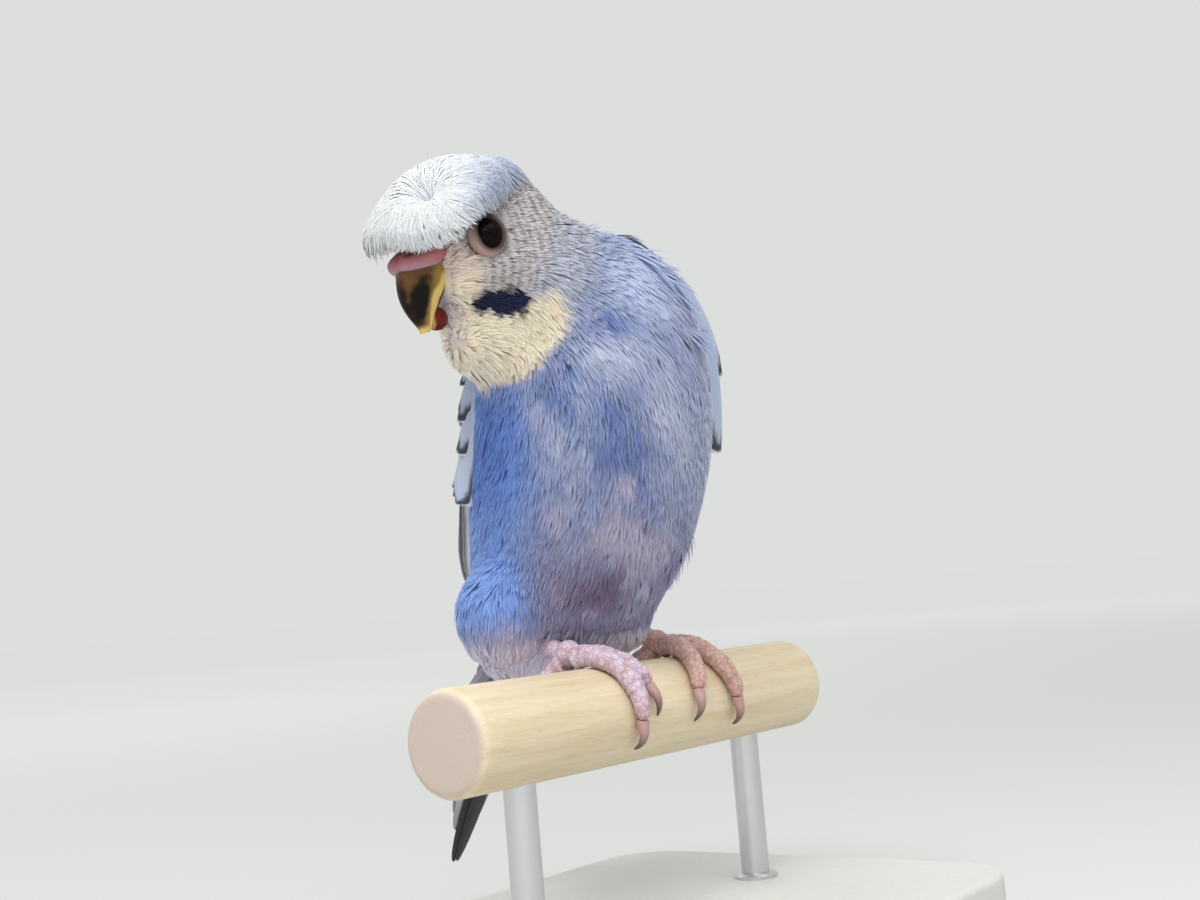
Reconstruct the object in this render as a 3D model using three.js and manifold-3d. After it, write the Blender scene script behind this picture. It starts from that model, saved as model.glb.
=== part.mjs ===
// A young crested budgerigar at life size, perched on a length of dowel over a plain stand.
// Millimetres, +Z up. +X runs along the perch to the bird's left, and its toes point to -Y.
// The bird's chest is turned to its right over its feet, and its head is turned further the same way.
import * as THREE from 'three';
import Module from 'manifold-3d';

const wasm = await Module();
wasm.setup();

// Driving dimensions, in millimetres and degrees. Places are measured from the perch's axis,
// midway between the feet.
const touchGap = 0.3;
const perchDiameter = 16;
const perchLength = 93;
const perchChamfer = 1.6;
const baseLength = 104;
const baseDepth = 84;
const baseThickness = 8;
const baseCorner = 12;
const rodDiameter = 5;
const rodSpacing = 62;
const tailDrop = 30;
const tailClearance = 3;
const perchHeight = baseThickness + tailClearance + tailDrop;
const perchRadius = perchDiameter / 2;

const headCentre = new THREE.Vector3(-28.5, 5, 74.5);
const headYaw = 99;
const headPitch = 16;
const headFront = 11;
const headBack = 12.5;
const headSide = 10.8;
const headUp = 11;
const headDown = 11.5;
const crownBack = { forward: -9, up: 2.8, radius: 9.3 };
const crownEase = 0.6;
const throat = { forward: 0, left: -1, up: -13.3, front: 7.6, back: 9, side: 8.2, rise: 6.5, fall: 8 };

const eyeAt = { forward: 2.7, side: 9.9, up: 1.4 };
const eyeballRadius = 2.7;
const eyeOpening = 1.9;
const whorlAt = { forward: 2, up: 10.4 };

const flankTuck = 2.6;
const footSpread = 12.5;
const thighSpread = { left: 9.4, right: 12.2 };
const toeRadius = 1.85;
const clawLength = 5.5;

const tailRoot = new THREE.Vector3(1.2, 26, 10.4);
const tailTip = new THREE.Vector3(12, 56.5, -28);

const vaneThickness = 0.55;
const crestFall = { front: 13, back: 34 };
const crestBackShare = 0.45;
const crestStandOff = 1.5;
const crestSeed = 7;

const colours = {
  white: 0xdfe3ea, crest: 0xe9edf3, blue: 0x7f95cf, thigh: 0x9fb0dc, wing: 0xa9b4cf, violet: 0x5b5f9e,
  eye: 0x0c0a0c, cere: 0xc9a6bd, horn: 0x6b6a55, lowerHorn: 0x7a5648, flesh: 0xb79a98, claw: 0x5d5550,
  perch: 0xe2d3a8, base: 0x3a3634, rod: 0xb9b9b9,
};

// Helpers: frames, closed bodies from rings and grids, and their joins and cuts
const radians = (degrees) => (degrees * Math.PI) / 180;
const mix = (a, b, t) => a + (b - a) * t;

// A frame of a bird's forward, left and up directions, from its yaw to the right, pitch and roll
function birdFrame(yaw, pitch = 0, roll = 0) {
  const forward = new THREE.Vector3(
    -Math.sin(radians(yaw)) * Math.cos(radians(pitch)),
    -Math.cos(radians(yaw)) * Math.cos(radians(pitch)),
    -Math.sin(radians(pitch)),
  );
  const level = new THREE.Vector3(Math.cos(radians(yaw)), -Math.sin(radians(yaw)), 0);
  const upright = new THREE.Vector3().crossVectors(forward, level).normalize();
  const left = level.clone().multiplyScalar(Math.cos(radians(roll)));
  left.addScaledVector(upright, Math.sin(radians(roll)));
  const up = new THREE.Vector3().crossVectors(forward, left).normalize();
  return { forward, left, up };
}

function inFrame(origin, frame, forward, left, up) {
  return origin.clone()
    .addScaledVector(frame.forward, forward)
    .addScaledVector(frame.left, left)
    .addScaledVector(frame.up, up);
}

function geometryOf(points, triangles) {
  const geometry = new THREE.BufferGeometry();
  const numbers = points.flatMap((point) => [point.x, point.y, point.z]);
  geometry.setAttribute('position', new THREE.Float32BufferAttribute(numbers, 3));
  geometry.setIndex(triangles);
  return geometry;
}

function solidOf(points, triangles) {
  const numbers = new Float32Array(points.flatMap((point) => [point.x, point.y, point.z]));
  const body = new wasm.Manifold(new wasm.Mesh({
    numProp: 3, vertProperties: numbers, triVerts: new Uint32Array(triangles),
  }));
  if (body.volume() > 0) return body;
  const turned = [];
  for (let i = 0; i < triangles.length; i += 3) turned.push(triangles[i], triangles[i + 2], triangles[i + 1]);
  return new wasm.Manifold(new wasm.Mesh({
    numProp: 3, vertProperties: numbers, triVerts: new Uint32Array(turned),
  }));
}

// A closed body through rings of equal count, each end closed on its middle
function loft(rings) {
  const count = rings[0].length;
  const points = rings.flat();
  const triangles = [];
  for (let row = 0; row + 1 < rings.length; row += 1) {
    for (let i = 0; i < count; i += 1) {
      const a = row * count + i;
      const b = row * count + ((i + 1) % count);
      triangles.push(a, b, b + count, a, b + count, a + count);
    }
  }
  const ends = [[0, 1], [rings.length - 1, -1]];
  for (const [row, turn] of ends) {
    const middle = new THREE.Vector3();
    rings[row].forEach((point) => middle.addScaledVector(point, 1 / count));
    points.push(middle);
    for (let i = 0; i < count; i += 1) {
      const a = row * count + i;
      const b = row * count + ((i + 1) % count);
      triangles.push(...(turn > 0 ? [b, a, points.length - 1] : [a, b, points.length - 1]));
    }
  }
  return solidOf(points, triangles);
}

// A round limb along a path, its radius a function of the way along from 0 to 1
function limb(path, radiusAt, sides = 8, steps = 8) {
  const frames = path.computeFrenetFrames(steps, false);
  const rings = [];
  for (let i = 0; i <= steps; i += 1) {
    const centre = path.getPointAt(i / steps);
    const radius = radiusAt(i / steps);
    const ring = [];
    for (let k = 0; k < sides; k += 1) {
      const turn = (2 * Math.PI * k) / sides;
      ring.push(centre.clone()
        .addScaledVector(frames.normals[i], radius * Math.cos(turn))
        .addScaledVector(frames.binormals[i], radius * Math.sin(turn)));
    }
    rings.push(ring);
  }
  return loft(rings);
}

// A thin plate between two alike grids of points, split into triangles alike on both faces
function plate(top, bottom) {
  const last = top.length - 1;
  const edge = top[0].length - 1;
  const points = [...top.flat(), ...bottom.flat()];
  const at = (face, row, column) => (face * (last + 1) + row) * (edge + 1) + column;
  const triangles = [];
  const quad = (a, b, c, d) => triangles.push(a, b, c, a, c, d);
  for (let row = 0; row < last; row += 1) {
    for (let column = 0; column < edge; column += 1) {
      quad(at(0, row, column), at(0, row + 1, column), at(0, row + 1, column + 1), at(0, row, column + 1));
      const [a, b] = [at(1, row, column), at(1, row + 1, column)];
      triangles.push(a, b + 1, b, a, a + 1, b + 1);
    }
    quad(at(0, row + 1, 0), at(0, row, 0), at(1, row, 0), at(1, row + 1, 0));
    quad(at(0, row, edge), at(0, row + 1, edge), at(1, row + 1, edge), at(1, row, edge));
  }
  for (let column = 0; column < edge; column += 1) {
    quad(at(0, 0, column), at(0, 0, column + 1), at(1, 0, column + 1), at(1, 0, column));
    quad(at(0, last, column + 1), at(0, last, column), at(1, last, column), at(1, last, column + 1));
  }
  return solidOf(points, triangles);
}

// The outline shared by all vanes: how wide each is along its length, as parts of one
const roundVane = [[0, 0.4], [0.3, 0.88], [0.62, 1], [0.87, 0.8], [1, 0.34]];
const longVane = [[0, 0.4], [0.22, 0.85], [0.5, 1], [0.75, 0.96], [0.92, 0.68], [1, 0.26]];

// A vane from a function that gives a place for its way along, its way across from -1 to 1,
// and its height over or under its own middle
function vane(outline, columns, thickness, placeAt) {
  const faces = [1, -1].map((face) => outline.map(([t, wide]) => {
    const row = [];
    const height = (face * thickness * mix(1, 0.7, t)) / 2;
    for (let i = 0; i <= columns; i += 1) row.push(placeAt(t, wide * (-1 + (2 * i) / columns), height));
    return row;
  }));
  return plate(faces[0], faces[1]);
}

// An egg whose radii differ on each side of its middle
function egg(centre, frame, radii, around = 28, down = 16) {
  const rings = [];
  for (let row = 1; row < down; row += 1) {
    const slope = Math.PI * (row / down);
    const ring = [];
    for (let i = 0; i < around; i += 1) {
      const turn = (2 * Math.PI * i) / around;
      const f = Math.sin(slope) * Math.cos(turn);
      const l = Math.sin(slope) * Math.sin(turn);
      const u = Math.cos(slope);
      ring.push(inFrame(centre, frame,
        f * (f > 0 ? radii.front : radii.back), l * radii.side, u * (u > 0 ? radii.up : radii.down)));
    }
    rings.push(ring);
  }
  return loft(rings);
}

function largest(body) {
  const pieces = body.decompose();
  return pieces.reduce((best, piece) => (piece.volume() > best.volume() ? piece : best));
}

function joined(bodies) {
  return bodies.reduce((whole, body) => whole.add(body));
}

// A solid from one of the library's closed geometries
function solidFrom(geometry) {
  const plain = geometry.index ? geometry.toNonIndexed() : geometry;
  const position = plain.getAttribute('position');
  const places = new Map();
  const points = [];
  const triangles = [];
  for (let i = 0; i < position.count; i += 1) {
    const point = new THREE.Vector3().fromBufferAttribute(position, i);
    const key = point.toArray().map((value) => Math.round(value * 1e4)).join();
    if (!places.has(key)) {
      places.set(key, points.length);
      points.push(point);
    }
    triangles.push(places.get(key));
  }
  const whole = [];
  for (let i = 0; i < triangles.length; i += 3) {
    const [a, b, c] = triangles.slice(i, i + 3);
    if (a !== b && b !== c && c !== a) whole.push(a, b, c);
  }
  return solidOf(points, whole);
}

const bird = new THREE.Group();
const model = new THREE.Group();
bird.position.z = perchHeight;
model.add(bird);

function finish(colour, roughness = 0.85, metalness = 0) {
  return new THREE.MeshStandardMaterial({ color: colour, roughness, metalness });
}

function addNode(group, name, body, material) {
  const whole = largest(body);
  const mesh = whole.getMesh();
  const points = [];
  for (let i = 0; i < mesh.vertProperties.length; i += mesh.numProp) {
    points.push(new THREE.Vector3(...mesh.vertProperties.slice(i, i + 3)));
  }
  const node = new THREE.Mesh(geometryOf(points, [...mesh.triVerts]), material);
  node.name = name;
  group.add(node);
  return node;
}

// The body's form: stations from under the tail coverts up to the mantle, each with its middle,
// its half width, its reach to the breast and to the back, its yaw and how far its left side is raised
const bodyStations = [
  { at: [3.2, 29.5, 7], side: 7, front: 4, back: 3.5, yaw: 20, roll: 0 },
  { at: [1, 22.5, 13.5], side: 12.5, front: 10, back: 8, yaw: 20, roll: 2 },
  { at: [-1.5, 15, 22.5], side: 17.8, front: 17.5, back: 13.5, yaw: 24, roll: 5 },
  { at: [-2.5, 8.5, 33], side: 20.8, front: 21, back: 18, yaw: 33, roll: 8 },
  { at: [-3.5, 3.5, 45], side: 21.4, front: 21.5, back: 19.5, yaw: 43, roll: 11 },
  { at: [-5.5, -0.5, 57], side: 19.8, front: 19.5, back: 18.5, yaw: 50, roll: 13 },
  { at: [-8.5, -1.5, 67], side: 16.6, front: 15.5, back: 15.5, yaw: 55, roll: 14 },
  { at: [-10.5, -0.5, 74.5], side: 11.5, front: 10.5, back: 11, yaw: 58, roll: 14 },
  { at: [-11.5, 0, 78.5], side: 4, front: 4, back: 4, yaw: 60, roll: 14 },
];
const bodyMiddles = new THREE.CatmullRomCurve3(bodyStations.map((s) => new THREE.Vector3(...s.at)));
const bodyReaches = new THREE.CatmullRomCurve3(
  bodyStations.map((s) => new THREE.Vector3(s.side, s.front, s.back)));
const bodyTurns = new THREE.CatmullRomCurve3(bodyStations.map((s) => new THREE.Vector3(s.yaw, s.roll, 0)));

// A point on the body, or lifted off it: 0 to 1 from tail to mantle, and degrees round from the
// breast, positive on the bird's left
function bodyPoint(along, around, lift = 0) {
  const middle = bodyMiddles.getPoint(along);
  const up = bodyMiddles.getTangent(along);
  const reach = bodyReaches.getPoint(along);
  const turn = bodyTurns.getPoint(along);
  const left = birdFrame(turn.x, 0, turn.y).left;
  left.addScaledVector(up, -left.dot(up)).normalize();
  const forward = new THREE.Vector3().crossVectors(left, up).normalize();
  const sine = Math.sin(radians(around));
  const cosine = Math.cos(radians(around));
  const { smoothstep } = THREE.MathUtils;
  const fade = smoothstep(along, 0, 0.25) * (1 - smoothstep(along, 0.45, 0.68));
  const tuck = sine < 0 ? flankTuck * fade : 0;
  return middle
    .addScaledVector(left, sine * (reach.x - tuck + lift))
    .addScaledVector(forward, cosine * ((cosine > 0 ? reach.y : reach.z) + lift));
}

function bodyForm(lift = 0, rows = 18, around = 24) {
  const rings = [];
  for (let row = 0; row <= rows; row += 1) {
    const past = row === 0 ? -lift : row === rows ? lift : 0;
    const ring = [];
    for (let i = 0; i < around; i += 1) {
      const point = bodyPoint(row / rows, (360 * i) / around, lift);
      ring.push(point.addScaledVector(bodyMiddles.getTangent(row / rows), past));
    }
    rings.push(ring);
  }
  return loft(rings);
}

// Evenly spread numbers from 0 to 1, the same each time
function seededRandom(seed) {
  let state = seed;
  return () => {
    state = (state * 16807) % 2147483647;
    return state / 2147483647;
  };
}

// Head and neck
const headFrame = birdFrame(headYaw, headPitch);
const headPoint = (forward, left, up) => inFrame(headCentre, headFrame, forward, left, up);

function headForm(lift = 0, around = 24, down = 13) {
  return egg(headCentre, headFrame, {
    front: headFront + lift,
    back: headBack + lift,
    side: headSide + lift,
    up: headUp + lift,
    down: headDown + lift,
  }, around, down);
}

// The puffed feathers behind the crown and the full throat under the bill
const crownBackForm = (lift = 0) => egg(headPoint(crownBack.forward, 0, crownBack.up), headFrame, {
  front: crownBack.radius + lift,
  back: crownBack.radius + lift,
  side: crownBack.radius + lift,
  up: crownBack.radius + lift,
  down: crownBack.radius + lift,
}, 20, 10);
const throatForm = (lift = 0) => egg(headPoint(throat.forward, throat.left, throat.up), headFrame, {
  front: throat.front + lift,
  back: throat.back + lift,
  side: throat.side + lift,
  up: throat.rise + lift,
  down: throat.fall + lift,
}, 20, 10);

const neckPath = new THREE.CatmullRomCurve3([
  new THREE.Vector3(-6, -2, 60),
  new THREE.Vector3(-12, -0.5, 67),
  new THREE.Vector3(-21, 3, 72),
  headPoint(-1, 0, -1),
]);

function neckForm(lift = 0) {
  return limb(neckPath, (t) => mix(12.6, 10.2, t) + 1.8 * Math.sin(Math.PI * t) + lift, 20, 7);
}

const whorl = headPoint(whorlAt.forward, 0, whorlAt.up);

// Bill and cere, in the head's frame
function billForm(lift = 0) {
  const rows = 9;
  const around = 14;
  const rings = [];
  for (let row = 0; row <= rows; row += 1) {
    const t = row / rows;
    const up = mix(-0.6, -10.3, t);
    const culmen = 13.4 + 1.2 * Math.sin(Math.PI * Math.min(1, t * 1.1)) - 0.4 * t * t;
    const depth = mix(6.4, 0.85, t);
    const half = mix(4.8, 0.65, t);
    const ring = [];
    for (let i = 0; i < around; i += 1) {
      const turn = (2 * Math.PI * i) / around;
      const forward = culmen - depth + (depth + lift) * Math.cos(turn);
      ring.push(headPoint(forward, (half + lift) * Math.sin(turn), up + lift * (0.5 - t)));
    }
    rings.push(ring);
  }
  return loft(rings);
}

const cereFrame = birdFrame(headYaw, headPitch + 6);
const cereForm = (lift) => egg(headPoint(8.7, 0, 0.8), cereFrame,
  { front: 5.2 + lift, back: 4, side: 5.6 + lift, up: 2.4 + lift, down: 2.5 + lift }, 16, 8);
const lowerBillForm = (lift) => egg(headPoint(9, 0, -8.3), headFrame,
  { front: 2.3 + lift, back: 4, side: 2.1 + lift, up: 2.4, down: 2.1 + lift }, 12, 8);

function eyeFrame(side) {
  const out = new THREE.Vector3(0.3, 0.94 * side, 0.12).normalize();
  return inFrame(new THREE.Vector3(), headFrame, out.x, out.y, out.z);
}

function eyeCentre(side, depth) {
  return headPoint(eyeAt.forward, eyeAt.side * side, eyeAt.up).addScaledVector(eyeFrame(side), -depth);
}

function ball(centre, radius, around = 14, down = 8) {
  return solidFrom(new THREE.SphereGeometry(radius, around, down).translate(centre.x, centre.y, centre.z));
}

// A rim of bare skin round the eye, its axis looking out of the head
function lidRim(side, lift = 0) {
  const ring = new THREE.TorusGeometry(eyeOpening + 0.55, 0.65 + lift, 5, 14);
  const turn = new THREE.Quaternion().setFromUnitVectors(new THREE.Vector3(0, 0, 1), eyeFrame(side));
  const at = eyeCentre(side, 0.1);
  ring.applyQuaternion(turn).translate(at.x, at.y, at.z);
  return solidFrom(ring);
}

const eyeDepth = Math.sqrt(eyeballRadius ** 2 - eyeOpening ** 2) - 0.3;
const socket = (side) => ball(eyeCentre(side, eyeDepth), eyeballRadius + touchGap);

// Flesh: one whole form, parted by thin cuts into head, neck and torso
function cutSlab(point, normal, thickness, reach) {
  const slab = new THREE.BoxGeometry(reach, reach, thickness);
  slab.applyQuaternion(new THREE.Quaternion().setFromUnitVectors(new THREE.Vector3(0, 0, 1), normal));
  slab.translate(point.x, point.y, point.z);
  return solidFrom(slab);
}

const neckDirection = new THREE.Vector3(-0.82, 0.22, 0.53).normalize();
const headCut = headCentre.clone().addScaledVector(neckDirection, -7);
const torsoCut = headCentre.clone().addScaledVector(neckDirection, -16.5);
const cutReach = 120;

const farSide = (point, away) => {
  const middle = point.clone().addScaledVector(neckDirection, away * (touchGap + cutReach) / 2);
  return cutSlab(middle, neckDirection, cutReach, cutReach);
};

const flesh = bodyForm().add(neckForm()).add(headForm()).add(crownBackForm()).add(throatForm());
const headFlesh = flesh.intersect(farSide(headCut, 1));
const torsoFlesh = flesh.intersect(farSide(torsoCut, -1));
const neckFlesh = flesh.intersect(farSide(headCut, -1)).intersect(farSide(torsoCut, 1));

// Legs: a bare tarsus and four toes gripping the perch, two before it and two behind it
const legs = {
  right: {
    side: -1,
    ball: new THREE.Vector3(-footSpread, 3.2, 10.2),
    toes: [
      { name: 'outer_front', reach: 1.4, end: 92 },
      { name: 'inner_front', reach: 5.2, end: 58 },
      { name: 'outer_rear', reach: -3.6, end: -92 },
      { name: 'inner_rear', reach: 3.6, end: -66 },
    ],
  },
  left: {
    side: 1,
    ball: new THREE.Vector3(footSpread - 0.5, 3.2, 10.2),
    toes: [
      { name: 'outer_front', reach: 4.2, end: 86 },
      { name: 'inner_front', reach: -6.6, end: 72 },
      { name: 'outer_rear', reach: 4, end: -90 },
      { name: 'inner_rear', reach: -5, end: -62 },
    ],
  },
};

// A point beside the perch's skin: degrees round from its top towards the toes' side
const onPerch = (x, round, lift) => new THREE.Vector3(
  x, -Math.sin(radians(round)) * (perchRadius + lift), Math.cos(radians(round)) * (perchRadius + lift));

const toeThickness = (t) => mix(toeRadius, toeRadius * 0.72, t);
function toePath(leg, toe) {
  const start = toe.end > 0 ? -14 : -30;
  const points = [];
  for (let i = 0; i <= 5; i += 1) {
    const t = i / 5;
    points.push(onPerch(leg.ball.x + toe.reach * t, mix(start, toe.end, t), touchGap + toeThickness(t)));
  }
  return new THREE.CatmullRomCurve3(points);
}

function clawPath(leg, toe) {
  const turn = Math.sign(toe.end) * THREE.MathUtils.radToDeg(clawLength / (perchRadius + 1.2));
  const points = [];
  for (let i = 0; i <= 4; i += 1) {
    const t = i / 4;
    const round = toe.end + Math.sign(toe.end) * 5.5 + turn * t;
    const clear = touchGap + mix(0.95, 0.35, t) + 0.7 * Math.sin(Math.PI * t);
    points.push(onPerch(leg.ball.x + toe.reach * (1.02 + 0.16 * t), round, clear));
  }
  return new THREE.CatmullRomCurve3(points);
}

const tarsusPath = (leg) => new THREE.CatmullRomCurve3([
  leg.ball,
  leg.ball.clone().add(new THREE.Vector3(-0.8 * leg.side, 3, 3.2)),
  leg.ball.clone().add(new THREE.Vector3(-1.6 * leg.side, 5.5, 8)),
]);
const tarsusForm = (leg, lift = 0) => limb(tarsusPath(leg), (t) => 1.75 + 0.35 * t * t + lift, 7, 4);

function footForm(leg, lift = 0) {
  const toes = leg.toes.map((toe) => limb(
    toePath(leg, toe), (t) => toeThickness(t) * (1 + 0.06 * Math.cos(6 * Math.PI * t)) + lift, 6, 7));
  const heel = ball(leg.ball.clone().add(new THREE.Vector3(0, 0.4, 0.3)), 2.15 + lift, 10, 6);
  return joined([heel, tarsusForm(leg, lift), ...toes]);
}

const thighFrame = birdFrame(20, 30);
const thighForm = (side) => egg(
  new THREE.Vector3(-5.4, 9.8, 17).addScaledVector(
    birdFrame(20).left, side > 0 ? thighSpread.left : -thighSpread.right),
  thighFrame, { front: 8.5, back: 9.5, side: 7.6, up: 9, down: 8.2 }, 16, 10);

// Tail: twelve long feathers stacked from the middle pair down and out, with the coverts that lie
// over and under their roots
const tailDirection = tailTip.clone().sub(tailRoot).normalize();
const tailAcross = birdFrame(20, 0, 2).left;
const tailUp = new THREE.Vector3().crossVectors(tailAcross, tailDirection).negate().normalize();
const tailLength = tailTip.distanceTo(tailRoot);
const tailPoint = (along, across, height) => inFrame(
  tailRoot, { forward: tailDirection, left: tailAcross, up: tailUp }, along, across, height);

const tailPairs = [
  { length: 1, out: 0.9, wide: 3.6, close: 0.3 },
  { length: 0.84, out: 1.95, wide: 3.6, close: 0.8 },
  { length: 0.77, out: 2.5, wide: 3.8, close: 0.85 },
  { length: 0.66, out: 3.1, wide: 4, close: 0.9 },
  { length: 0.55, out: 3.8, wide: 4.2, close: 1 },
  { length: 0.45, out: 4.5, wide: 4.2, close: 1 },
];
const tailStep = 0.62;
const tailRoof = 0.16;

function tailFeather(side, pair, order) {
  const own = order === 0 ? 0.31 * side : 0;
  return vane(longVane, 1, vaneThickness, (t, across, height) => {
    const fan = mix(0.35, 1, Math.min(1, t * 2.2)) * mix(1, pair.close, t * t);
    const out = side * pair.out * fan + (across * pair.wide) / 2;
    const sink = tailStep * order - own;
    const drop = sink + tailRoof * Math.abs(out) - 1.4;
    return tailPoint(mix(-2, tailLength * pair.length, t), out, height - drop);
  });
}

function tailCovert(face, place) {
  const reach = mix(21, 16, Math.abs(place));
  return vane(roundVane, 1, vaneThickness, (t, across, height) => {
    const out = place * mix(1.8, 3.9, t) + across * 2.8;
    const lift = face > 0 ? mix(0.9, 3.1, t) : mix(-1.6, -4.9, t);
    const drop = face * (0.7 * Math.abs(place) + 0.12 * Math.abs(out));
    return tailPoint(mix(-3, reach, t), out, height + lift - drop);
  });
}

function tailForm() {
  const parts = [egg(tailPoint(0.5, 0, -0.4), { forward: tailDirection, left: tailAcross, up: tailUp },
    { front: 9, back: 6, side: 4, up: 1.8, down: 2.4 }, 12, 8)];
  tailPairs.forEach((pair, order) => parts.push(tailFeather(1, pair, order), tailFeather(-1, pair, order)));
  for (const place of [-1, 0, 1]) parts.push(tailCovert(1, place), tailCovert(-1, place));
  return joined(parts);
}

// Wings: folded on each side of the back, in rows that lap like tiles. In each row the feather
// nearer the back lies over the one before it. Ways along and round are those of the body.
const wingRows = [
  // Primaries, whose tips cross over the root of the tail
  { count: 4, from: 0.48, to: [0.01, 0.17], round: [98, 124], end: [142, 166],
    wide: 5.8, lift: 2.3, stack: 0.3, tilt: 0.45, outline: longVane },
  // Secondaries
  { count: 4, from: 0.5, to: [0.18, 0.28], round: [134, 163], end: [146, 168],
    wide: 6.2, lift: 3.5, stack: 0.15, tilt: 0.5, outline: longVane },
  // Greater, median and lesser coverts
  { count: 5, from: 0.63, to: [0.36, 0.4], round: [103, 161], end: [103, 166],
    wide: 8.4, lift: 3.5, stack: 0, tilt: 0.5, outline: roundVane },
  { count: 4, from: 0.76, to: [0.53, 0.56], round: [107, 159], end: [107, 161],
    wide: 10, lift: 3, stack: 0, tilt: 0.5, outline: roundVane },
  { count: 4, from: 0.87, to: [0.68, 0.7], round: [110, 157], end: [110, 160],
    wide: 8.8, lift: 2.4, stack: 0, tilt: 0.5, outline: roundVane },
];
const wingRootLift = 1.3;
const wingEdgeLift = 0.7;
const armPlate = { top: 0.88, bottom: 0.47, front: [107, 101], back: 163, lifts: [1.65, 0.8] };
// How far the front edge of the right wing's coverts lies back of the left wing's, in degrees
const rightCovertsBack = 9;

function wingFeather(side, row, part) {
  const tip = mix(row.to[0], row.to[1], part);
  const back = side < 0 && row.from > 0.7 ? rightCovertsBack * (1 - part) : 0;
  const start = mix(row.round[0], row.round[1], part) + back;
  const end = mix(row.end[0], row.end[1], part) + back;
  const order = part * (row.count - 1);
  return vane(row.outline, 1, vaneThickness, (t, across, height) => {
    const along = mix(row.from, tip, t);
    const reach = bodyReaches.getPoint(along);
    const halfTurn = THREE.MathUtils.radToDeg(row.wide / (2 * Math.max(9, (reach.x + reach.z) / 2 + 2)));
    const round = Math.min(176.5, mix(start, end, t) + across * halfTurn);
    const lean = -across * row.tilt * Math.min(1, t * 3);
    const full = row.lift * mix(wingEdgeLift, 1, Math.min(1, part * 2)) + row.stack * order;
    const lift = mix(wingRootLift, full, Math.pow(t, 0.8));
    return bodyPoint(along, side * round, lift + lean + height);
  });
}

function wingForm(side) {
  const steps = 5;
  const arm = armPlate.lifts.map((lift) => {
    const rows = [];
    for (let row = 0; row <= steps; row += 1) {
      const t = row / steps;
      const along = mix(armPlate.top, armPlate.bottom, t);
      const front = mix(armPlate.front[0], armPlate.front[1], t);
      const columns = [];
      for (let i = 0; i <= steps; i += 1) {
        columns.push(bodyPoint(along, side * mix(front, armPlate.back, i / steps), lift));
      }
      rows.push(columns);
    }
    return rows;
  });
  const feathers = wingRows.flatMap((row) => Array.from(
    { length: row.count }, (_, i) => wingFeather(side, row, i / (row.count - 1))));
  return joined([plate(arm[0], arm[1]), ...feathers]);
}

// Crest: feathers that radiate from a whorl at the front of the crown, in two tiers, each feather
// a little over or under the next. They fall to a brim that lies close over the eyes and stands
// off elsewhere.
const crestTiers = [
  { count: 15, reach: 1, wide: 6.2, start: 0.22, lift: 1.2, turn: 0 },
  { count: 10, reach: 0.8, wide: 7, start: 0.16, lift: 3.6, turn: 15 },
];
const crestStep = 0.85;

// A point on the head by a direction in its own scaled space, or lifted off it
function headSkin(direction, lift) {
  const reach = new THREE.Vector3(
    direction.x * (direction.x > 0 ? headFront : headBack),
    direction.y * headSide,
    direction.z * (direction.z > 0 ? headUp : headDown),
  );
  const way = reach.clone().normalize();
  const inner = way.x * crownBack.forward + way.z * crownBack.up;
  const miss = crownBack.forward ** 2 + crownBack.up ** 2 - inner ** 2;
  const outer = inner > 0 ? inner + Math.sqrt(Math.max(0, crownBack.radius ** 2 - miss)) : 0;
  const near = reach.length();
  const crown = Math.max(near, outer) + crownEase * Math.log(1 + Math.exp(-Math.abs(near - outer) / crownEase));
  reach.setLength(crown + lift);
  return headPoint(reach.x, reach.y, reach.z);
}

const crestMiddle = new THREE.Vector3(whorlAt.forward / headFront, 0, whorlAt.up / headUp).normalize();

function crestFeather(tier, around, step, vary) {
  const back = THREE.MathUtils.smoothstep(Math.abs(around), 40, 140);
  const rise = radians(mix(crestFall.front, crestFall.back, back));
  const standOff = crestStandOff * (1 - Math.exp(-(((Math.abs(around) - 85) / 32) ** 2)));
  const turn = radians(around);
  const end = new THREE.Vector3(
    Math.cos(rise) * Math.cos(turn), Math.cos(rise) * Math.sin(turn), Math.sin(rise));
  const angle = crestMiddle.angleTo(end);
  const away = end.clone().addScaledVector(crestMiddle, -end.dot(crestMiddle)).normalize();
  const sideways = new THREE.Vector3().crossVectors(crestMiddle, away).normalize();
  return vane(roundVane, 1, vaneThickness, (t, across, height) => {
    const s = mix(tier.start, tier.reach * vary, t);
    const direction = crestMiddle.clone().multiplyScalar(Math.cos(angle * s))
      .addScaledVector(away, Math.sin(angle * s))
      .addScaledVector(sideways, (across * tier.wide * mix(0.1, 1, Math.min(1, s * 1.25))) / (2 * headSide))
      .normalize();
    const spread = Math.min(1, (s - tier.start) / 0.12);
    const full = (tier.lift + step * crestStep) * mix(1, crestBackShare, back);
    const lift = mix(Math.min(0.9, full), full, spread) + standOff * s;
    return headSkin(direction, lift + height);
  });
}

function crestForm() {
  const button = egg(whorl, headFrame, { front: 3.8, back: 3.8, side: 3.8, up: 1.7, down: 3 }, 12, 6);
  const random = seededRandom(crestSeed);
  const feathers = crestTiers.flatMap((tier) => Array.from({ length: tier.count }, (_, i) => {
    const around = ((360 * (i + 0.3 * (random() - 0.5))) / tier.count + tier.turn) % 360;
    return crestFeather(tier, around > 180 ? around - 360 : around, i % 2, 0.94 + 0.12 * random());
  }));
  return joined([button, ...feathers]);
}

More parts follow.
